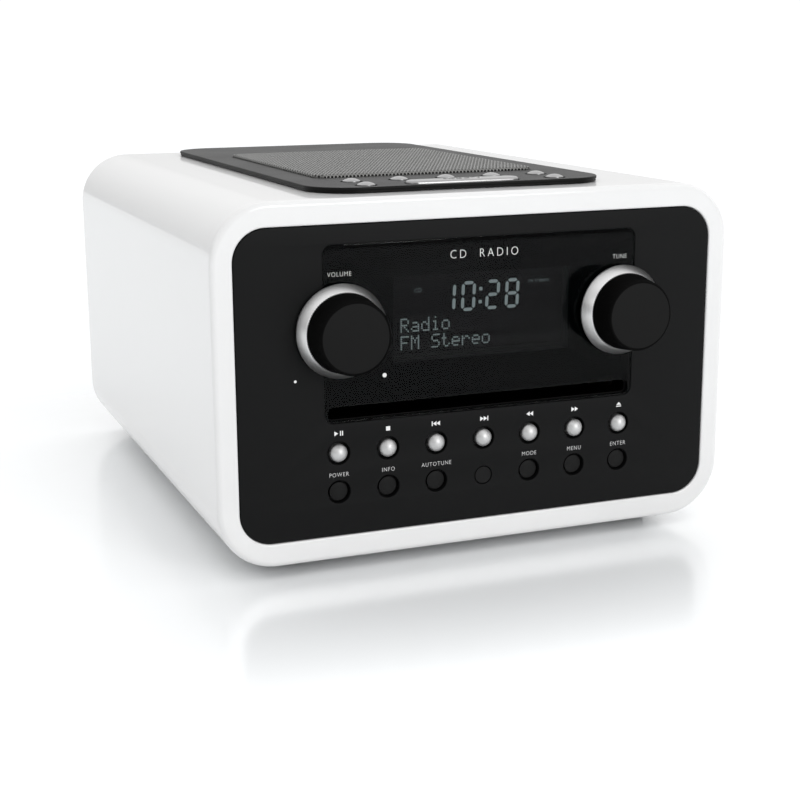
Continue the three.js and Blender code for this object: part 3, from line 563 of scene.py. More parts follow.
def make_cabinet():
    above = CABINET.z + 5
    below = CABINET.z - TOP_WALL - 5
    bay_middle = (BAY_FRONT + BAY_BACK) / 2
    bay = rounded_rectangle(BAY_WIDTH, BAY_BACK - BAY_FRONT, 4, 0, bay_middle)
    hole = circle(SPEAKER_HOLE_RADIUS, 0, SPEAKER_Y, 96)
    rebate = circle(SPEAKER_REBATE_RADIUS, 0, SPEAKER_Y, 96)
    solid = combined(
        sleeve(),
        "DIFFERENCE",
        plate(bay, (), below, above, facing="top"),
        plate(hole, (), below, above, facing="top"),
        plate(rebate, (), CABINET.z - SPEAKER_REBATE_DEPTH, above, facing="top"),
    )
    cabinet = piece("cabinet_sleeve", solid, "white_lacquer", stands_for=["cabinet_shell"])
    cabinet.modifiers.new("even_shading", "WEIGHTED_NORMAL").keep_sharp = True


FOOT_HEIGHT = 5
FOOT_PROFILE = [(0, 0), (9.6, 0), (9.0, 4.2), (8.2, 5), (6.4, 5), (5.8, 4.7), (0, 4.7)]


def make_feet():
    """Rubber feet. The profile's heights run downwards from the cabinet."""
    profile = filleted(FOOT_PROFILE, 0.5)
    for end in ("front", "rear"):
        for side in ("left", "right"):
            node = f"foot_{end}_{side}"
            low, high = span(node)
            centre = middle(node)
            outline = [(r, high.z - h * (high.z - low.z) / FOOT_HEIGHT) for r, h in profile]
            solid = turned(outline, centre.x, centre.y, facing="top")
            piece(f"rubber_foot_{end}_{side}", solid, "rubber", stands_for=[node])


make_cabinet()
make_feet()

# ---------------------------------------------------------------- control panel

BUTTON_COLUMNS = [BUTTON_PITCH * i for i in range(-3, 4)]


def opening_outline(gap, corner=OPENING_CORNER):
    return rounded_rectangle(
        OPENING_WIDTH - 2 * gap, OPENING_HEIGHT - 2 * gap, corner - gap, 0, OPENING_MIDDLE, 16
    )


def window_outline(grow):
    extent = WINDOW_HIGH - WINDOW_LOW
    centre = (WINDOW_LOW + WINDOW_HIGH) / 2
    return rounded_rectangle(
        extent.x + 2 * grow, extent.z + 2 * grow, WINDOW_CORNER + grow, 0, centre.z, 8
    )


def slot_outline(grow=0.0):
    width, height = SLOT_WIDTH + 2 * grow, SLOT_HEIGHT + 2 * grow
    return rounded_rectangle(width, height, SLOT_CORNER + grow, 0, SLOT_Z, 8)


def display_outline(grow=0.0, corner=0.6):
    width, height = DISPLAY_WIDTH + 2 * grow, DISPLAY_HEIGHT + 2 * grow
    return rounded_rectangle(width, height, corner, 0, DISPLAY_Z, 5)


def shaft_holes():
    return [circle(SHAFT_HOLE_RADIUS, side * KNOB_X, KNOB_Z) for side in (-1, 1)]


def make_control_panel():
    button_holes = [circle(BUTTON_HOLE_RADIUS, x, TRANSPORT_Z) for x in BUTTON_COLUMNS]
    for x in BUTTON_COLUMNS:
        radius = BUTTON_HOLE_RADIUS if abs(x) > 1 else SENSOR_RADIUS + GAP
        button_holes.append(circle(radius, x, FUNCTION_Z))
    face = plate(
        opening_outline(GAP), [window_outline(GAP), *button_holes], PANEL_FRONT, LEDGE + 0.2, 0.3
    )
    ledge = plate(
        opening_outline(0.4),
        [slot_outline(0.2), display_outline(4, 1), *shaft_holes(), *button_holes],
        LEDGE,
        PANEL_BACK,
    )
    skirt = plate(opening_outline(1.3), [opening_outline(3.5)], PANEL_BACK - 0.4, 10)
    solid = combined(face, "UNION", ledge, skirt)
    piece("control_panel", solid, "panel_black", stands_for=["front_panel"])


PRINT_THICKNESS = 0.15
SLOT_MARGIN = 0.45  # how much wider than the slot the pane is cut round it


def make_window():
    """The glossy pane, and the black print behind it."""
    front, back = WINDOW_LOW.y, WINDOW_HIGH.y
    print_front = back - PRINT_THICKNESS
    slot = slot_outline(SLOT_MARGIN)
    pane = plate(window_outline(0.2), [slot, *shaft_holes()], front, print_front, 0.2)
    piece("window_pane", pane, "window_gloss", stands_for=["display_window"])
    openings = [slot, *shaft_holes(), display_outline()]
    mask = plate(window_outline(-0.2), openings, print_front, back)
    piece("window_mask", mask, "window_gloss", paint=FINISHES["window_print"])


def make_slot_guide():
    solid = plate(slot_outline(2.4), [slot_outline()], SLOT_LOW.y, SLOT_HIGH.y, 0.2)
    # The guide is painted with the slot's painted shade instead of the panel's black.
    piece("slot_guide", solid, "panel_black", stands_for=["disc_slot_guide"], paint=SLOT_PAINTED_SHADE)


make_control_panel()
make_window()
make_slot_guide()

# ---------------------------------------------------------------- display

BEZEL = 1.6  # the strip of frame seen along the glass's left and lower edges
SEGMENTS = {"0": "abcdef", "1": "bc", "2": "abged", "8": "abcdefg"}
SLANT = math.tan(math.radians(2.5))
DOT_LETTERS = {
    "F": ("#####", "#....", "#....", "####.", "#....", "#....", "#...."),
    "M": ("#...#", "##.##", "#.#.#", "#.#.#", "#...#", "#...#", "#...#"),
    "R": ("####.", "#...#", "#...#", "####.", "#.#..", "#..#.", "#...#"),
    "S": (".####", "#....", "#....", ".###.", "....#", "....#", "####."),
    "a": (".....", ".....", ".###.", "....#", ".####", "#...#", ".####"),
    "d": ("....#", "....#", ".##.#", "#..##", "#...#", "#...#", ".####"),
    "e": (".....", ".....", ".###.", "#...#", "#####", "#....", ".###."),
    "i": ("..#..", ".....", ".##..", "..#..", "..#..", "..#..", ".###."),
    "o": (".....", ".....", ".###.", "#...#", "#...#", "#...#", ".###."),
    "r": (".....", ".....", "#.##.", "##..#", "#....", "#....", "#...."),
    "t": (".#...", ".#...", "###..", ".#...", ".#...", ".#..#", "..##."),
    " ": (".....",) * 7,
}


def bar(start, end, stroke):
    """A segment of a digit: a bar with pointed ends between two points."""
    start, end = Vector(start), Vector(end)
    along = (end - start).normalized()
    across = Vector((-along.y, along.x)) * stroke / 2
    tip = along * stroke / 2
    near, far = start + tip, end - tip
    return [start, near + across, far + across, end, far - across, near - across]


def digit_bars(digit, x, z, width, height, stroke):
    left, right, low, mid, top = x - width / 2, x + width / 2, z - height / 2, z, z + height / 2
    gap = stroke * 0.27
    ends = {
        "a": ((left + gap, top), (right - gap, top)),
        "b": ((right, mid + gap), (right, top - gap)),
        "c": ((right, low + gap), (right, mid - gap)),
        "d": ((left + gap, low), (right - gap, low)),
        "e": ((left, low + gap), (left, mid - gap)),
        "f": ((left, mid + gap), (left, top - gap)),
        "g": ((left + gap, mid), (right - gap, mid)),
    }
    for name in SEGMENTS[digit]:
        yield [(px + (pz - z) * SLANT, pz) for px, pz in bar(*ends[name], stroke)]


CLOCK_DIGITS = (("1", -12.0), ("0", -3.45), ("2", 7.1), ("8", 15.65))
COLON_X = 1.8
TEXT_LINES = (("Radio", 86.7), ("FM Stereo", 79.7))
TEXT_LEFT = -32.5
DOT_PITCH, DOT_RISE = 0.727, 0.81
DOT_FILL = 0.74  # how much of its cell a dot fills


def make_clock():
    height, width, stroke, z = 10.6, 4.8, 1.3, 99.4
    bars = []
    for digit, x in CLOCK_DIGITS:
        bars += digit_bars(digit, x, z, width, height, stroke)
    for dz in (-2.6, 2.6):
        dot = rounded_rectangle(1.4, 1.4, 0.3, COLON_X + dz * SLANT, z + dz, 3)
        bars.append(dot)
    solid = together(*(prism(outline, DISPLAY_FACE) for outline in bars))
    piece("display_clock_digits", solid, "display_dark", paint=LCD_GLOW)


def dot_line(words, bottom):
    """Dots that spell the words, five across and seven high to a letter."""
    half_x, half_z = DOT_FILL * DOT_PITCH / 2, DOT_FILL * DOT_RISE / 2
    dots = bmesh.new()
    for column, letter in enumerate(words):
        for row, marks in enumerate(DOT_LETTERS[letter]):
            for step, mark in enumerate(marks):
                if mark == "#":
                    x = TEXT_LEFT + (6 * column + step + 0.5) * DOT_PITCH
                    z = bottom + (6.5 - row) * DOT_RISE
                    low = (x - half_x, DISPLAY_FACE - 0.02, z - half_z)
                    high = (x + half_x, DISPLAY_FACE + 0.02, z + half_z)
                    dots = together(dots, box(low, high))
    return dots


def make_display():
    tunnel = plate(
        display_outline(TUNNEL_WALL, 1), [display_outline()], TUNNEL_LOW.y, TUNNEL_HIGH.y, 0.15
    )
    piece("display_tunnel", tunnel, "display_grey", stands_for=["display_surround"])
    back = span("display_module")[1].y
    glass = plate(display_outline(TUNNEL_WALL, 1), (), DISPLAY_FACE, back, 0.2)
    piece("display_glass", glass, "display_dark", stands_for=["display_module"])
    opening = rounded_rectangle(DISPLAY_WIDTH, DISPLAY_HEIGHT, 0.5, BEZEL, DISPLAY_Z + BEZEL, 4)
    bezel = plate(
        display_outline(TUNNEL_WALL - 0.2, 1), [opening], DISPLAY_FACE - 0.2, DISPLAY_FACE - 0.05
    )
    piece("display_bezel", bezel, "display_grey")
    make_clock()
    for number, (words, bottom) in enumerate(TEXT_LINES, 1):
        solid = dot_line(words, bottom)
        piece(f"display_text_line_{number}", solid, "display_dark", paint=LCD_GLOW)
    marks = (("CD", -25, 103.1, 1.5), ("FM STEREO", 27.4, 103.7, 1.2))
    solid = together(*(lettering(w, h, x, z, DISPLAY_FACE) for w, x, z, h in marks))
    piece("display_small_marks", solid, "display_dark", paint=LCD_GLOW)


make_display()

# ---------------------------------------------------------------- knobs

KNURL_TEETH = 96
RING_FRONT = -span("tune_knob_ring")[0].y
RING_INNER_RADIUS = 12
RING_RADIUS = 18.3
RING_FRONT_RADIUS = 15.75
CAP_FACE_RADIUS = 14.2
CAP_INNER_RADIUS = 11.7
SHAFT_BORE_RADIUS = 3.3


def knurled(solid, x, z, low, high, depth):
    """Presses teeth into the rings of a turned piece between two heights in front."""
    for vertex in solid.verts:
        offset = Vector((vertex.co.x - x, vertex.co.z - z))
        if low < -vertex.co.y < high and offset.length > 13:
            turn = math.atan2(offset.y, offset.x) / (2 * math.pi) * KNURL_TEETH
            if round(turn * 2) % 2:
                vertex.co.x -= depth * offset.x / offset.length
                vertex.co.z -= depth * offset.y / offset.length
    return solid


def make_knob(control):
    """A black cap with its face disc, in an aluminium ring with a serrated inner edge."""
    x = middle(f"{control}_knob_cap").x
    face = KNOB_FACE
    rim = [
        (0, face - 0.3), (12.7, face - 0.3), (13.1, face), (13.6, face), (CAP_FACE_RADIUS, face - 0.8),
    ]
    grip = [(15.35, RING_FRONT + 0.9), (15.4, RING_FRONT + 0.4), (15.3, RING_FRONT + 0.3)]
    bore = face - 2.7
    inside = [
        (CAP_INNER_RADIUS, RING_FRONT + GAP), (CAP_INNER_RADIUS, 1.3),
        (SHAFT_BORE_RADIUS, 1.3), (SHAFT_BORE_RADIUS, bore), (0, bore),
    ]
    profile = [*filleted(rim, 0.45), *grip, *inside]
    body = f"{control}_control"
    # The cap's side is painted with the knob's painted shade; the face disc keeps the plain knob
    # black.
    piece(
        f"{control}_grip", turned(profile, x, KNOB_Z, 128), "knob_black", body,
        [f"{control}_knob_cap"], paint=GRIP_PAINTED_SHADE,
    )
    disc = filleted([(0, face - 0.8), (13.3, face - 0.8), (13.3, face - 0.05), (0, face - 0.05)], 0.2)
    piece(f"{control}_face", turned(disc, x, KNOB_Z, 96), "knob_black", body)
    edge = [
        (RING_FRONT_RADIUS, RING_FRONT), (RING_FRONT_RADIUS - 0.35, RING_FRONT - 0.5),
        (RING_INNER_RADIUS, RING_FRONT - 0.5),
    ]
    outline = [
        (RING_INNER_RADIUS, 1), (RING_RADIUS - 0.4, 1), (RING_RADIUS, 1.4), (RING_RADIUS, 1.9),
        (RING_FRONT_RADIUS + 0.2, RING_FRONT - 0.4),
    ]
    profile = [*filleted(outline, 0.3, 4), *edge]
    ring = turned(profile, x, KNOB_Z, 2 * KNURL_TEETH)
    piece(
        f"{control}_trim_ring", knurled(ring, x, KNOB_Z, RING_FRONT - 0.1, RING_FRONT + 0.1, 0.3),
        "knob_aluminium", body, [f"{control}_knob_ring"],
    )


for control in ("volume", "tune"):
    make_knob(control)

# ---------------------------------------------------------------- front buttons

FLANGE_RADIUS = 5.3
STEM_RADIUS = 1.6


def button_profile(crown, flange_out, stem_out):
    """Stem, flange and crown; heights are measured outwards."""
    stem = [(0, stem_out), (STEM_RADIUS, stem_out), (STEM_RADIUS, flange_out - 1)]
    flange = [(FLANGE_RADIUS, flange_out - 1), (FLANGE_RADIUS, flange_out)]
    return [*filleted([*stem, *flange, (crown[0][0], flange_out)], 0.2, 2), *crown]


def make_front_buttons():
    """Silver domes on black carriers, and black buttons recessed in their holes."""
    flange = -(PANEL_BACK + GAP)
    for name in TRANSPORT_BUTTONS:
        low, high = span(f"button_{name}")
        top = -low.y
        centre = (low + high) / 2
        node = f"button_{name}"
        narrow, wide = TRANSPORT_RADIUS - 0.05, TRANSPORT_RADIUS
        foot = [(0, flange - 0.2), (narrow, flange - 0.2), (narrow, top - 2.7), (wide, top - 2.5)]
        crown = turned([*foot, *dome(wide, top - 2.3, 2.3)], centre.x, centre.z, 48)
        piece(f"{name}_button", crown, "button_silver", node, [node])
        carrier = button_profile([(3, flange), (0, flange)], flange, -high.y)
        solid = turned(carrier, centre.x, centre.z, 48)
        piece(f"{name}_carrier", solid, "button_black", node)
    for name in FUNCTION_BUTTONS:
        low, high = span(f"button_{name}")
        top = -low.y - FUNCTION_RECESS
        side = [(FUNCTION_RADIUS - 0.05, top - 1), (FUNCTION_RADIUS, top - 0.3)]
        crown = filleted([*side, *dome(FUNCTION_RADIUS - 0.3, top - 0.3, 0.3, 6)], 0.2)
        profile = button_profile(crown, flange, -high.y)
        centre = (low + high) / 2
        solid = turned(profile, centre.x, centre.z, 48)
        piece(f"{name}_button", solid, "button_black", f"button_{name}", [f"button_{name}"])


def make_sensor_window():
    low, high = span("remote_sensor_window")
    front, back = -low.y, -high.y
    profile = [
        (0, back), (FLANGE_RADIUS, back), (FLANGE_RADIUS, back + 1), (SENSOR_RADIUS, back + 1),
        (SENSOR_RADIUS, front - 0.15), (SENSOR_RADIUS - 0.15, front), (0, front),
    ]
    centre = (low + high) / 2
    solid = turned(profile, centre.x, centre.z, 64)
    piece("sensor_window", solid, "window_gloss", stands_for=["remote_sensor_window"],
          paint=FINISHES["button_black"])


make_front_buttons()
make_sensor_window()

# ---------------------------------------------------------------- printed marks on the front

ICON_Z = 50.9
LABEL_Z = 34.4
ICON_HEIGHT = 1.9
LABEL_HEIGHT = 1.6
KNOB_LABEL_Z = 112.6
KNOB_LABEL_HEIGHT = 1.68
TITLE_Z = 117.5
TITLE_HEIGHT = 3.2


def triangle(x, z, width, height, way):
    """A triangle that points right (1) or left (-1), its base edge at x."""
    return [(x, z - height / 2), (x + way * width, z), (x, z + height / 2)]


def upright(x, z, width, height):
    return [
        (x - width / 2, z - height / 2), (x + width / 2, z - height / 2),
        (x + width / 2, z + height / 2), (x - width / 2, z + height / 2),
    ]


def icon_outlines(name, x, z):
    h = ICON_HEIGHT
    w = 0.8 * h
    if name == "play_pause":
        bars = [upright(x + dx, z, 0.22 * h, h) for dx in (0.42 * h, 0.85 * h)]
        return [triangle(x - 0.9 * h, z, w, h, 1), *bars]
    if name == "stop":
        return [upright(x, z, 0.9 * h, 0.9 * h)]
    if name == "previous":
        return [
            upright(x - w - 0.15 * h, z, 0.22 * h, h),
            triangle(x, z, w, h, -1),
            triangle(x + w, z, w, h, -1),
        ]
    if name == "next":
        return [
            triangle(x - w, z, w, h, 1),
            triangle(x, z, w, h, 1),
            upright(x + w + 0.15 * h, z, 0.22 * h, h),
        ]
    if name == "rewind":
        return [triangle(x, z, w, h, -1), triangle(x + w, z, w, h, -1)]
    if name == "forward":
        return [triangle(x - w, z, w, h, 1), triangle(x, z, w, h, 1)]
    peak = [(x - 0.6 * h, z - 0.1 * h), (x + 0.6 * h, z - 0.1 * h), (x, z + 0.55 * h)]
    return [peak, upright(x, z - 0.38 * h, 1.2 * h, 0.2 * h)]


def make_front_marks():
    """Icons, words and two small lamps."""
    for name in TRANSPORT_BUTTONS:
        x = middle(f"button_{name}").x
        outlines = icon_outlines(name, x, ICON_Z)
        solid = together(*(prism(outline, PANEL_FRONT) for outline in outlines))
        piece(f"icon_{name}", solid, "button_silver", paint=INK_WHITE)
    for name in FUNCTION_BUTTONS:
        x = middle(f"button_{name}").x
        solid = lettering(name.upper(), LABEL_HEIGHT, x, LABEL_Z, PANEL_FRONT)
        piece(f"label_{name}", solid, "button_silver", paint=INK_WHITE)
    for name, side in (("volume", -1), ("tune", 1)):
        solid = lettering(name.upper(), KNOB_LABEL_HEIGHT, side * KNOB_X, KNOB_LABEL_Z, WINDOW_LOW.y)
        piece(f"label_{name}", solid, "button_silver", paint=INK_WHITE)
    solid = lettering("CD  RADIO", TITLE_HEIGHT, 0, TITLE_Z, WINDOW_LOW.y, spacing=1.45)
    piece("label_set", solid, "button_silver", paint=INK_WHITE)
    lamps = (("standby", -78.3, 72.8, 0.55, PANEL_FRONT), ("alarm", -42.1, 72.2, 0.85, WINDOW_LOW.y))
    for name, x, z, radius, surface in lamps:
        solid = turned([(0, -0.1), (radius, -0.1), (radius, 0.05), (0, 0.1)], x, z, 24)
        solid.transform(Matrix.Translation((0, surface, 0)))
        piece(f"lamp_{name}", solid, "button_silver", paint=INK_WHITE)


make_front_marks()

# ---------------------------------------------------------------- top cover

SNOOZE_CLEARANCE = 0.6
SNOOZE_FLANGE = 1.2
SNOOZE_STEM_X = 18
TOP_KEY_RADIUS = 3.6
TOP_KEY_EDGE = 0.4  # above the cover


def snooze_outline(grow=0.0):
    """The bar's own outline, from the node without its hidden flange."""
    low, high = span("snooze_bar")
    width = high.x - low.x - 2 * SNOOZE_FLANGE
    depth = high.y - low.y - 2 * SNOOZE_FLANGE
    corner = depth / 2 - 0.4
    y = (low.y + high.y) / 2
    return rounded_rectangle(width + 2 * grow, depth + 2 * grow, corner + grow, 0, y, 12)


def grille_outline(grow=0.0):
    extent = GRILLE_HIGH - GRILLE_LOW
    y = (GRILLE_LOW.y + GRILLE_HIGH.y) / 2
    return rounded_rectangle(
        extent.x + 2 * grow, extent.y + 2 * grow, GRILLE_CORNER + min(grow, 0.3), 0, y, 8
    )


def cover_outline(inset):
    extent = COVER_HIGH - COVER_LOW
    y = (COVER_LOW.y + COVER_HIGH.y) / 2
    return rounded_rectangle(
        extent.x - 2 * inset, extent.y - 2 * inset, COVER_CORNER - inset, 0, y, 20
    )


def make_top_cover():
    holes = [circle(TOP_HOLE_RADIUS, *middle(node).xy, 48) for node in TOP_BUTTONS]
    holes.append(snooze_outline(SNOOZE_CLEARANCE))
    skin = plate(
        cover_outline(0), [*holes, grille_outline(GAP)], GRILLE_LEDGE_TOP - 0.1, COVER_TOP, 0.5,
        facing="top",
    )
    tray = plate(
        cover_outline(0.3), [*holes, grille_outline(-GRILLE_LEDGE)], COVER_UNDERSIDE, GRILLE_LEDGE_TOP,
        facing="top",
    )
    solid = combined(skin, "UNION", tray)
    cover = piece("cover_plate", solid, "cover_black", stands_for=["top_cover"])
    cover.modifiers.new("even_shading", "WEIGHTED_NORMAL").keep_sharp = True


# ---------------------------------------------------------------- perforated grille

HOLE_PITCH = 1.6
ROW_PITCH = 1.685
HOLE_RADIUS = 0.65
BEND_RADIUS = 0.9
SHEET = 0.5
HOLE_SIDES = 12


def perforated_sheet(width, depth):
    """A flat sheet of staggered round holes, one cell to a hole, centred on the origin."""
    sheet = bmesh.new()
    corners = {}

    def corner(x, y):
        key = (round(x * 1000), round(y * 1000))
        if key not in corners:
            corners[key] = sheet.verts.new((x, y, 0))
        return corners[key]

    quarter, half = HOLE_PITCH / 4, ROW_PITCH / 2
    ring = [
        (2, 0), (2, 1), (1, 1), (0, 1), (-1, 1), (-2, 1),
        (-2, 0), (-2, -1), (-1, -1), (0, -1), (1, -1), (2, -1),
    ]
    directions = [math.atan2(v * half, u * quarter) for u, v in ring]
    rows = int(depth / ROW_PITCH) // 2
    columns = int(width / HOLE_PITCH) // 2
    for row in range(-rows, rows + 1):
        shift = HOLE_PITCH / 2 if row % 2 else 0
        for column in range(-columns, columns + 1):
            x, y = column * HOLE_PITCH + shift, row * ROW_PITCH
            outside = [corner(x + u * quarter, y + v * half) for u, v in ring]
            inside = [
                sheet.verts.new((x + HOLE_RADIUS * math.cos(a), y + HOLE_RADIUS * math.sin(a), 0))
                for a in directions
            ]
            for i in range(HOLE_SIDES):
                j = (i + 1) % HOLE_SIDES
                sheet.faces.new((outside[i], outside[j], inside[j], inside[i]))
    return sheet


def bent_down(x, y, half_width, half_depth, corner, top):
    """Where a point of the flat sheet goes when its edges are bent down round a rounded rectangle."""
    dx, dy = abs(x) - (half_width - corner), abs(y) - (half_depth - corner)
    if dx > 0 and dy > 0:
        beyond = math.hypot(dx, dy) - corner
        out = Vector((dx, dy)).normalized()
        foot = Vector((half_width - corner, half_depth - corner)) + out * corner
    elif dx > dy:
        beyond, out, foot = dx - corner, Vector((1, 0)), Vector((half_width, abs(y)))
    else:
        beyond, out, foot = dy - corner, Vector((0, 1)), Vector((abs(x), half_depth))
    if beyond <= 0:
        return Vector((x, y, top))
    angle = min(beyond / BEND_RADIUS, math.pi / 2)
    drop = BEND_RADIUS * (1 - math.cos(angle)) + max(0, beyond - BEND_RADIUS * math.pi / 2)
    foot += out * BEND_RADIUS * math.sin(angle)
    return Vector((math.copysign(foot.x, x), math.copysign(foot.y, y), top - drop))


def make_grille():
    low, high = GRILLE_LOW, GRILLE_HIGH
    centre_y = (low.y + high.y) / 2
    half_width = (high.x - low.x) / 2 - BEND_RADIUS
    half_depth = (high.y - low.y) / 2 - BEND_RADIUS
    corner = GRILLE_CORNER - BEND_RADIUS
    wall = high.z - GRILLE_LEDGE_TOP - BEND_RADIUS - 0.1
    reach = BEND_RADIUS * math.pi / 2 + wall
    sheet = perforated_sheet(2 * (half_width + reach), 2 * (half_depth + reach))
    far = []
    for vertex in sheet.verts:
        vertex.co = bent_down(vertex.co.x, vertex.co.y, half_width, half_depth, corner, high.z)
        if vertex.co.z < high.z - BEND_RADIUS - wall:
            far.append(vertex)
    bmesh.ops.delete(sheet, geom=far, context="VERTS")
    sheet.transform(Matrix.Translation((0, centre_y, 0)))
    bmesh.ops.recalc_face_normals(sheet, faces=sheet.faces)
    if sum(face.normal.z for face in sheet.faces) < 0:
        bmesh.ops.reverse_faces(sheet, faces=sheet.faces)
    mesh = bpy.data.meshes.new("sheet")
    sheet.to_mesh(mesh)
    sheet.free()
    flat = scratch("sheet", mesh)
    thickness = flat.modifiers.new("thickness", "SOLIDIFY")
    thickness.thickness = SHEET
    thickness.offset = -1
    solid = evaluated(flat)
    bpy.data.meshes.remove(mesh)
    piece("perforated_grille", solid, "grille_steel", stands_for=["speaker_grille"], sharp=40)
    mouth = circle(SPEAKER_HOLE_RADIUS - 2.1, 0, SPEAKER_Y, 96)
    edge = grille_outline(-GRILLE_LEDGE - GAP)
    cloth = plate(edge, [mouth], CABINET.z + 0.05, CABINET.z + 0.3, facing="top")
    piece("grille_cloth", cloth, "cone_paper")


def make_top_buttons():
    for node in TOP_BUTTONS:
        low, high = span(node)
        centre = (low + high) / 2
        edge = COVER_TOP + TOP_KEY_EDGE
        side = [(TOP_KEY_RADIUS, COVER_TOP - 0.4), (TOP_KEY_RADIUS, edge - 0.1)]
        crown = filleted([*side, *dome(TOP_KEY_RADIUS - 0.25, edge, high.z - edge)], 0.25)
        profile = button_profile(crown, COVER_UNDERSIDE - GAP, low.z)
        solid = turned(profile, centre.x, centre.y, 48, "top")
        name = node.replace("top_button", "top_key")
        # Painted with the darker copy of the silver: painted shade.
        piece(name, solid, "button_silver", node, [node], paint=TOP_SILVER_PAINTED_SHADE)


def make_snooze_bar():
    low, high = span("snooze_bar")
    centre = (low + high) / 2
    crown = plate(snooze_outline(), (), COVER_UNDERSIDE - 1, high.z - 0.1, 1.0, 5, "top")
    flange_top = COVER_UNDERSIDE - GAP
    flange = plate(
        snooze_outline(SNOOZE_FLANGE), (), flange_top - 1, flange_top, 0.1, 2, "top"
    )
    stem = [(0, low.z), (STEM_RADIUS, low.z), (STEM_RADIUS, low.z + 3), (0, low.z + 3)]
    stems = [
        turned(stem, x, centre.y, 24, "top") for x in (-SNOOZE_STEM_X, SNOOZE_STEM_X)
    ]
    word = lettering("SNOOZE", 2.6, 0, centre.y, high.z - 0.1, "top", 0.3, 1.3)
    solid = together(crown, flange, *stems, word)
    # Painted with the darker copy of the silver: painted shade.
    piece("snooze_key", solid, "button_silver", "snooze_bar", ["snooze_bar"], paint=TOP_SILVER_PAINTED_SHADE)


make_top_cover()
make_grille()
make_top_buttons()
make_snooze_bar()

# ---------------------------------------------------------------- rear panel

REAR_LABEL_HEIGHT = 2.2
REAR_LABEL_RISE = 14  # from a socket's middle to its word
SCREW_INSET = 12
SCREW_RADIUS = 3


def make_rear_marks():
    """Words over the sockets, and a screw at each corner of the rear panel."""
    surface = span("rear_panel")[1].y
    words = {
        "mains_inlet": "MAINS", "headphone_socket": "PHONES", "line_socket": "LINE OUT",
        "aerial_socket": "AERIAL",
    }
    for node, word in words.items():
        centre = middle(node)
        z = centre.z + REAR_LABEL_RISE
        solid = lettering(word, REAR_LABEL_HEIGHT, centre.x, z, surface, "back")
        piece(f"rear_label_{node}", solid, "button_silver", paint=INK_WHITE)
    low, high = span("rear_panel")
    columns = (low.x + SCREW_INSET, high.x - SCREW_INSET)
    rows = (low.z + SCREW_INSET, high.z - SCREW_INSET)
    for i, (x, z) in enumerate((x, z) for x in columns for z in rows):
        rim = [(0, -0.1), (SCREW_RADIUS, -0.1), (SCREW_RADIUS, 0.3)]
        head = turned([*rim, *dome(SCREW_RADIUS - 0.4, 0.5, 0.6, 5)], x, z, 32, "back")
        head.transform(Matrix.Translation((0, surface, 0)))
        piece(f"rear_screw_{i + 1}", head, "steel")


make_rear_marks()

# ---------------------------------------------------------------- inner pieces kept from the CAD model

KEPT = {
    "steel": (
        "volume_shaft", "volume_encoder", "tune_shaft", "tune_encoder", "disc_drive_chassis",
        "tuner_module", "speaker_basket", "aerial_socket",
    ),
    "circuit_board": ("front_board", "top_button_board", "main_board"),
    "magnet_iron": ("speaker_magnet", "power_transformer"),
    "cone_paper": ("speaker_cone",),
    "display_grey": ("disc_drive_deck", "laser_sled"),
    "panel_black": ("disc_turntable",),
    "rubber": ("feed_roller",),
    "socket_black": ("rear_panel", "mains_inlet", "headphone_socket", "line_socket"),
}
for slot, nodes in KEPT.items():
    for node in nodes:
        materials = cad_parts[node].data.materials
        materials.clear()
        # The feed roller, seen through the slot, is painted with the slot's painted shade instead of
        # rubber.
        materials.append(SLOT_PAINTED_SHADE if node == "feed_roller" else FINISHES[slot])

# ---------------------------------------------------------------- floor, light and camera

CAMERA_PLACE = TO_MODEL @ Vector((-247, -536, 199))
CAMERA_YAW, CAMERA_PITCH, CAMERA_ROLL = (math.radians(a) for a in (-21.49, 13.39, -0.34))
CAMERA_LENS = 68.49
FLOOR_RADIUS = 12.0
BRIGHTER_WAY = (0.15, 0.2, 1.0)  # where the surroundings grow paler: up, and a little back and right
REFLECTION_REACH = 0.09
REFLECTION_LEVEL = 0.65
HORIZON_LIGHT, ZENITH_LIGHT = 0.5, 1.25
BACKDROP = 1.05


def fade_reflection(material):
    """Lets the floor's gloss die away with the distance from the radio's footprint."""
    nodes, links = material.node_tree.nodes, material.node_tree.links
    place = nodes.new("ShaderNodeTexCoord")
    previous = place.outputs["Object"]
    half = (cad_high - cad_low) / 2
    steps = (("ABSOLUTE", None), ("SUBTRACT", (half.x, half.y, 0)), ("MAXIMUM", (0, 0, 0)))
    for operation, value in (*steps, ("LENGTH", None)):
        step = nodes.new("ShaderNodeVectorMath")
        step.operation = operation
        links.new(previous, step.inputs[0])
        if value is not None:
            step.inputs[1].default_value = value
        previous = step.outputs["Value" if operation == "LENGTH" else "Vector"]
    fade = nodes.new("ShaderNodeMapRange")
    fade.interpolation_type = "SMOOTHSTEP"
    fade.inputs["From Max"].default_value = REFLECTION_REACH
    fade.inputs["To Min"].default_value = REFLECTION_LEVEL
    fade.inputs["To Max"].default_value = 0.0
    links.new(previous, fade.inputs["Value"])
    links.new(fade.outputs["Result"], nodes["Principled BSDF"].inputs["Specular IOR Level"])


def make_floor():
    floor = bmesh.new()
    bmesh.ops.create_circle(floor, cap_ends=True, segments=96, radius=FLOOR_RADIUS)
    mesh = bpy.data.meshes.new("floor")
    floor.transform(Matrix.Translation((0, 0, cad_low.z)))
    floor.to_mesh(mesh)
    floor.free()
    white = finish(
        "floor_white", (0.94, 0.955, 0.965), 0.18, grain=3, relief=0.0, mottle=0.005, spread=0.01,
        shader={"IOR": 2.4},
    )
    fade_reflection(white)
    mesh.materials.append(white)
    scratch("floor", mesh)


def make_softbox(name, place, size_across, power, target=(0, 0, 0.08)):
    light = bpy.data.lights.new(name, "AREA")
    light.shape = "DISK"
    light.size = size_across
    light.energy = power
    lamp = scratch(name, light)
    lamp.location = place
    lamp.rotation_mode = "QUATERNION"
    lamp.rotation_quaternion = (Vector(target) - Vector(place)).to_track_quat("-Z", "Y")


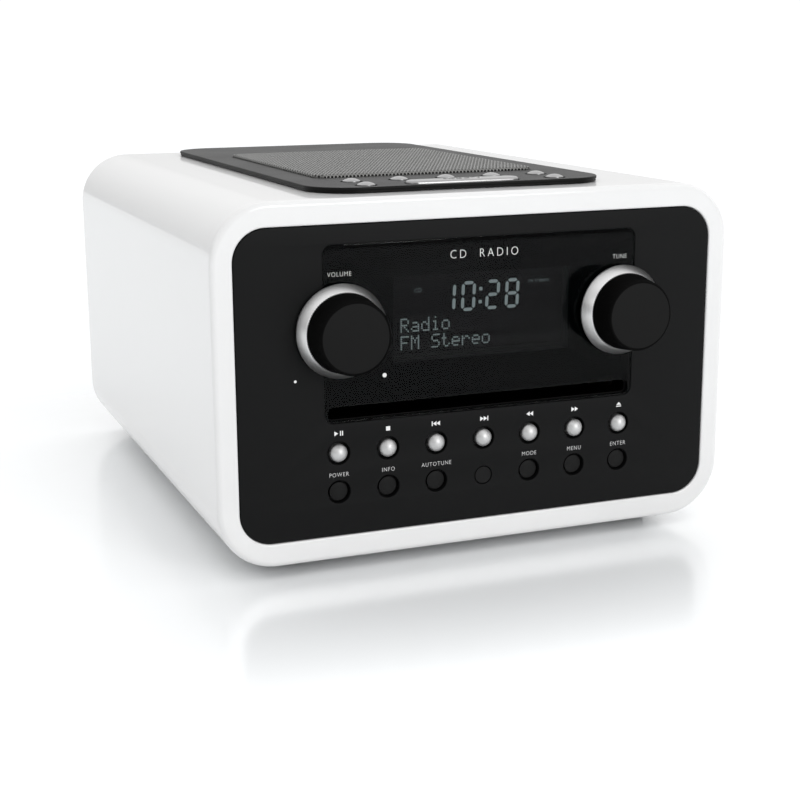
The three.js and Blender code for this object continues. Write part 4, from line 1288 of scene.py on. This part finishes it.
def make_world():
    """White to the camera; what lights the object grows paler from the horizon upwards."""
    world = bpy.data.worlds.new("studio")
    bpy.context.scene.world = world
    world.use_nodes = True
    nodes, links = world.node_tree.nodes, world.node_tree.links
    background = nodes["Background"]
    background.inputs["Color"].default_value = (1, 1, 1, 1)
    place = nodes.new("ShaderNodeTexCoord")
    height = nodes.new("ShaderNodeVectorMath")
    height.operation = "DOT_PRODUCT"
    height.inputs[1].default_value = BRIGHTER_WAY
    links.new(place.outputs["Generated"], height.inputs[0])
    fade = nodes.new("ShaderNodeMapRange")
    fade.interpolation_type = "SMOOTHSTEP"
    fade.inputs["From Max"].default_value = 0.7
    fade.inputs["To Min"].default_value = HORIZON_LIGHT
    fade.inputs["To Max"].default_value = ZENITH_LIGHT
    links.new(height.outputs["Value"], fade.inputs["Value"])
    seen = nodes.new("ShaderNodeLightPath")
    pick = nodes.new("ShaderNodeMix")
    links.new(seen.outputs["Is Camera Ray"], pick.inputs["Factor"])
    links.new(fade.outputs["Result"], pick.inputs["A"])
    pick.inputs["B"].default_value = BACKDROP
    links.new(pick.outputs["Result"], background.inputs["Strength"])


def make_camera():
    ahead = Vector((
        -math.sin(CAMERA_YAW) * math.cos(CAMERA_PITCH),
        math.cos(CAMERA_YAW) * math.cos(CAMERA_PITCH),
        -math.sin(CAMERA_PITCH),
    ))
    level = Vector((math.cos(CAMERA_YAW), math.sin(CAMERA_YAW), 0))
    upward = level.cross(ahead)
    across = math.cos(CAMERA_ROLL) * level + math.sin(CAMERA_ROLL) * upward
    turned_up = -math.sin(CAMERA_ROLL) * level + math.cos(CAMERA_ROLL) * upward
    data = bpy.data.cameras.new("camera")
    data.lens = CAMERA_LENS
    data.sensor_width = 36
    camera = scratch("camera", data)
    axes = Matrix((across, turned_up, -ahead)).transposed().to_4x4()
    camera.matrix_world = Matrix.Translation(CAMERA_PLACE) @ axes
    bpy.context.scene.camera = camera


make_floor()
make_world()
make_softbox("left_front", (-1.6, -0.6, 0.6), 0.6, 0.9)
make_softbox("right_front", (0.5, -1.7, 0.6), 0.8, 9.5)
make_camera()
bpy.context.scene.view_settings.view_transform = "Standard"
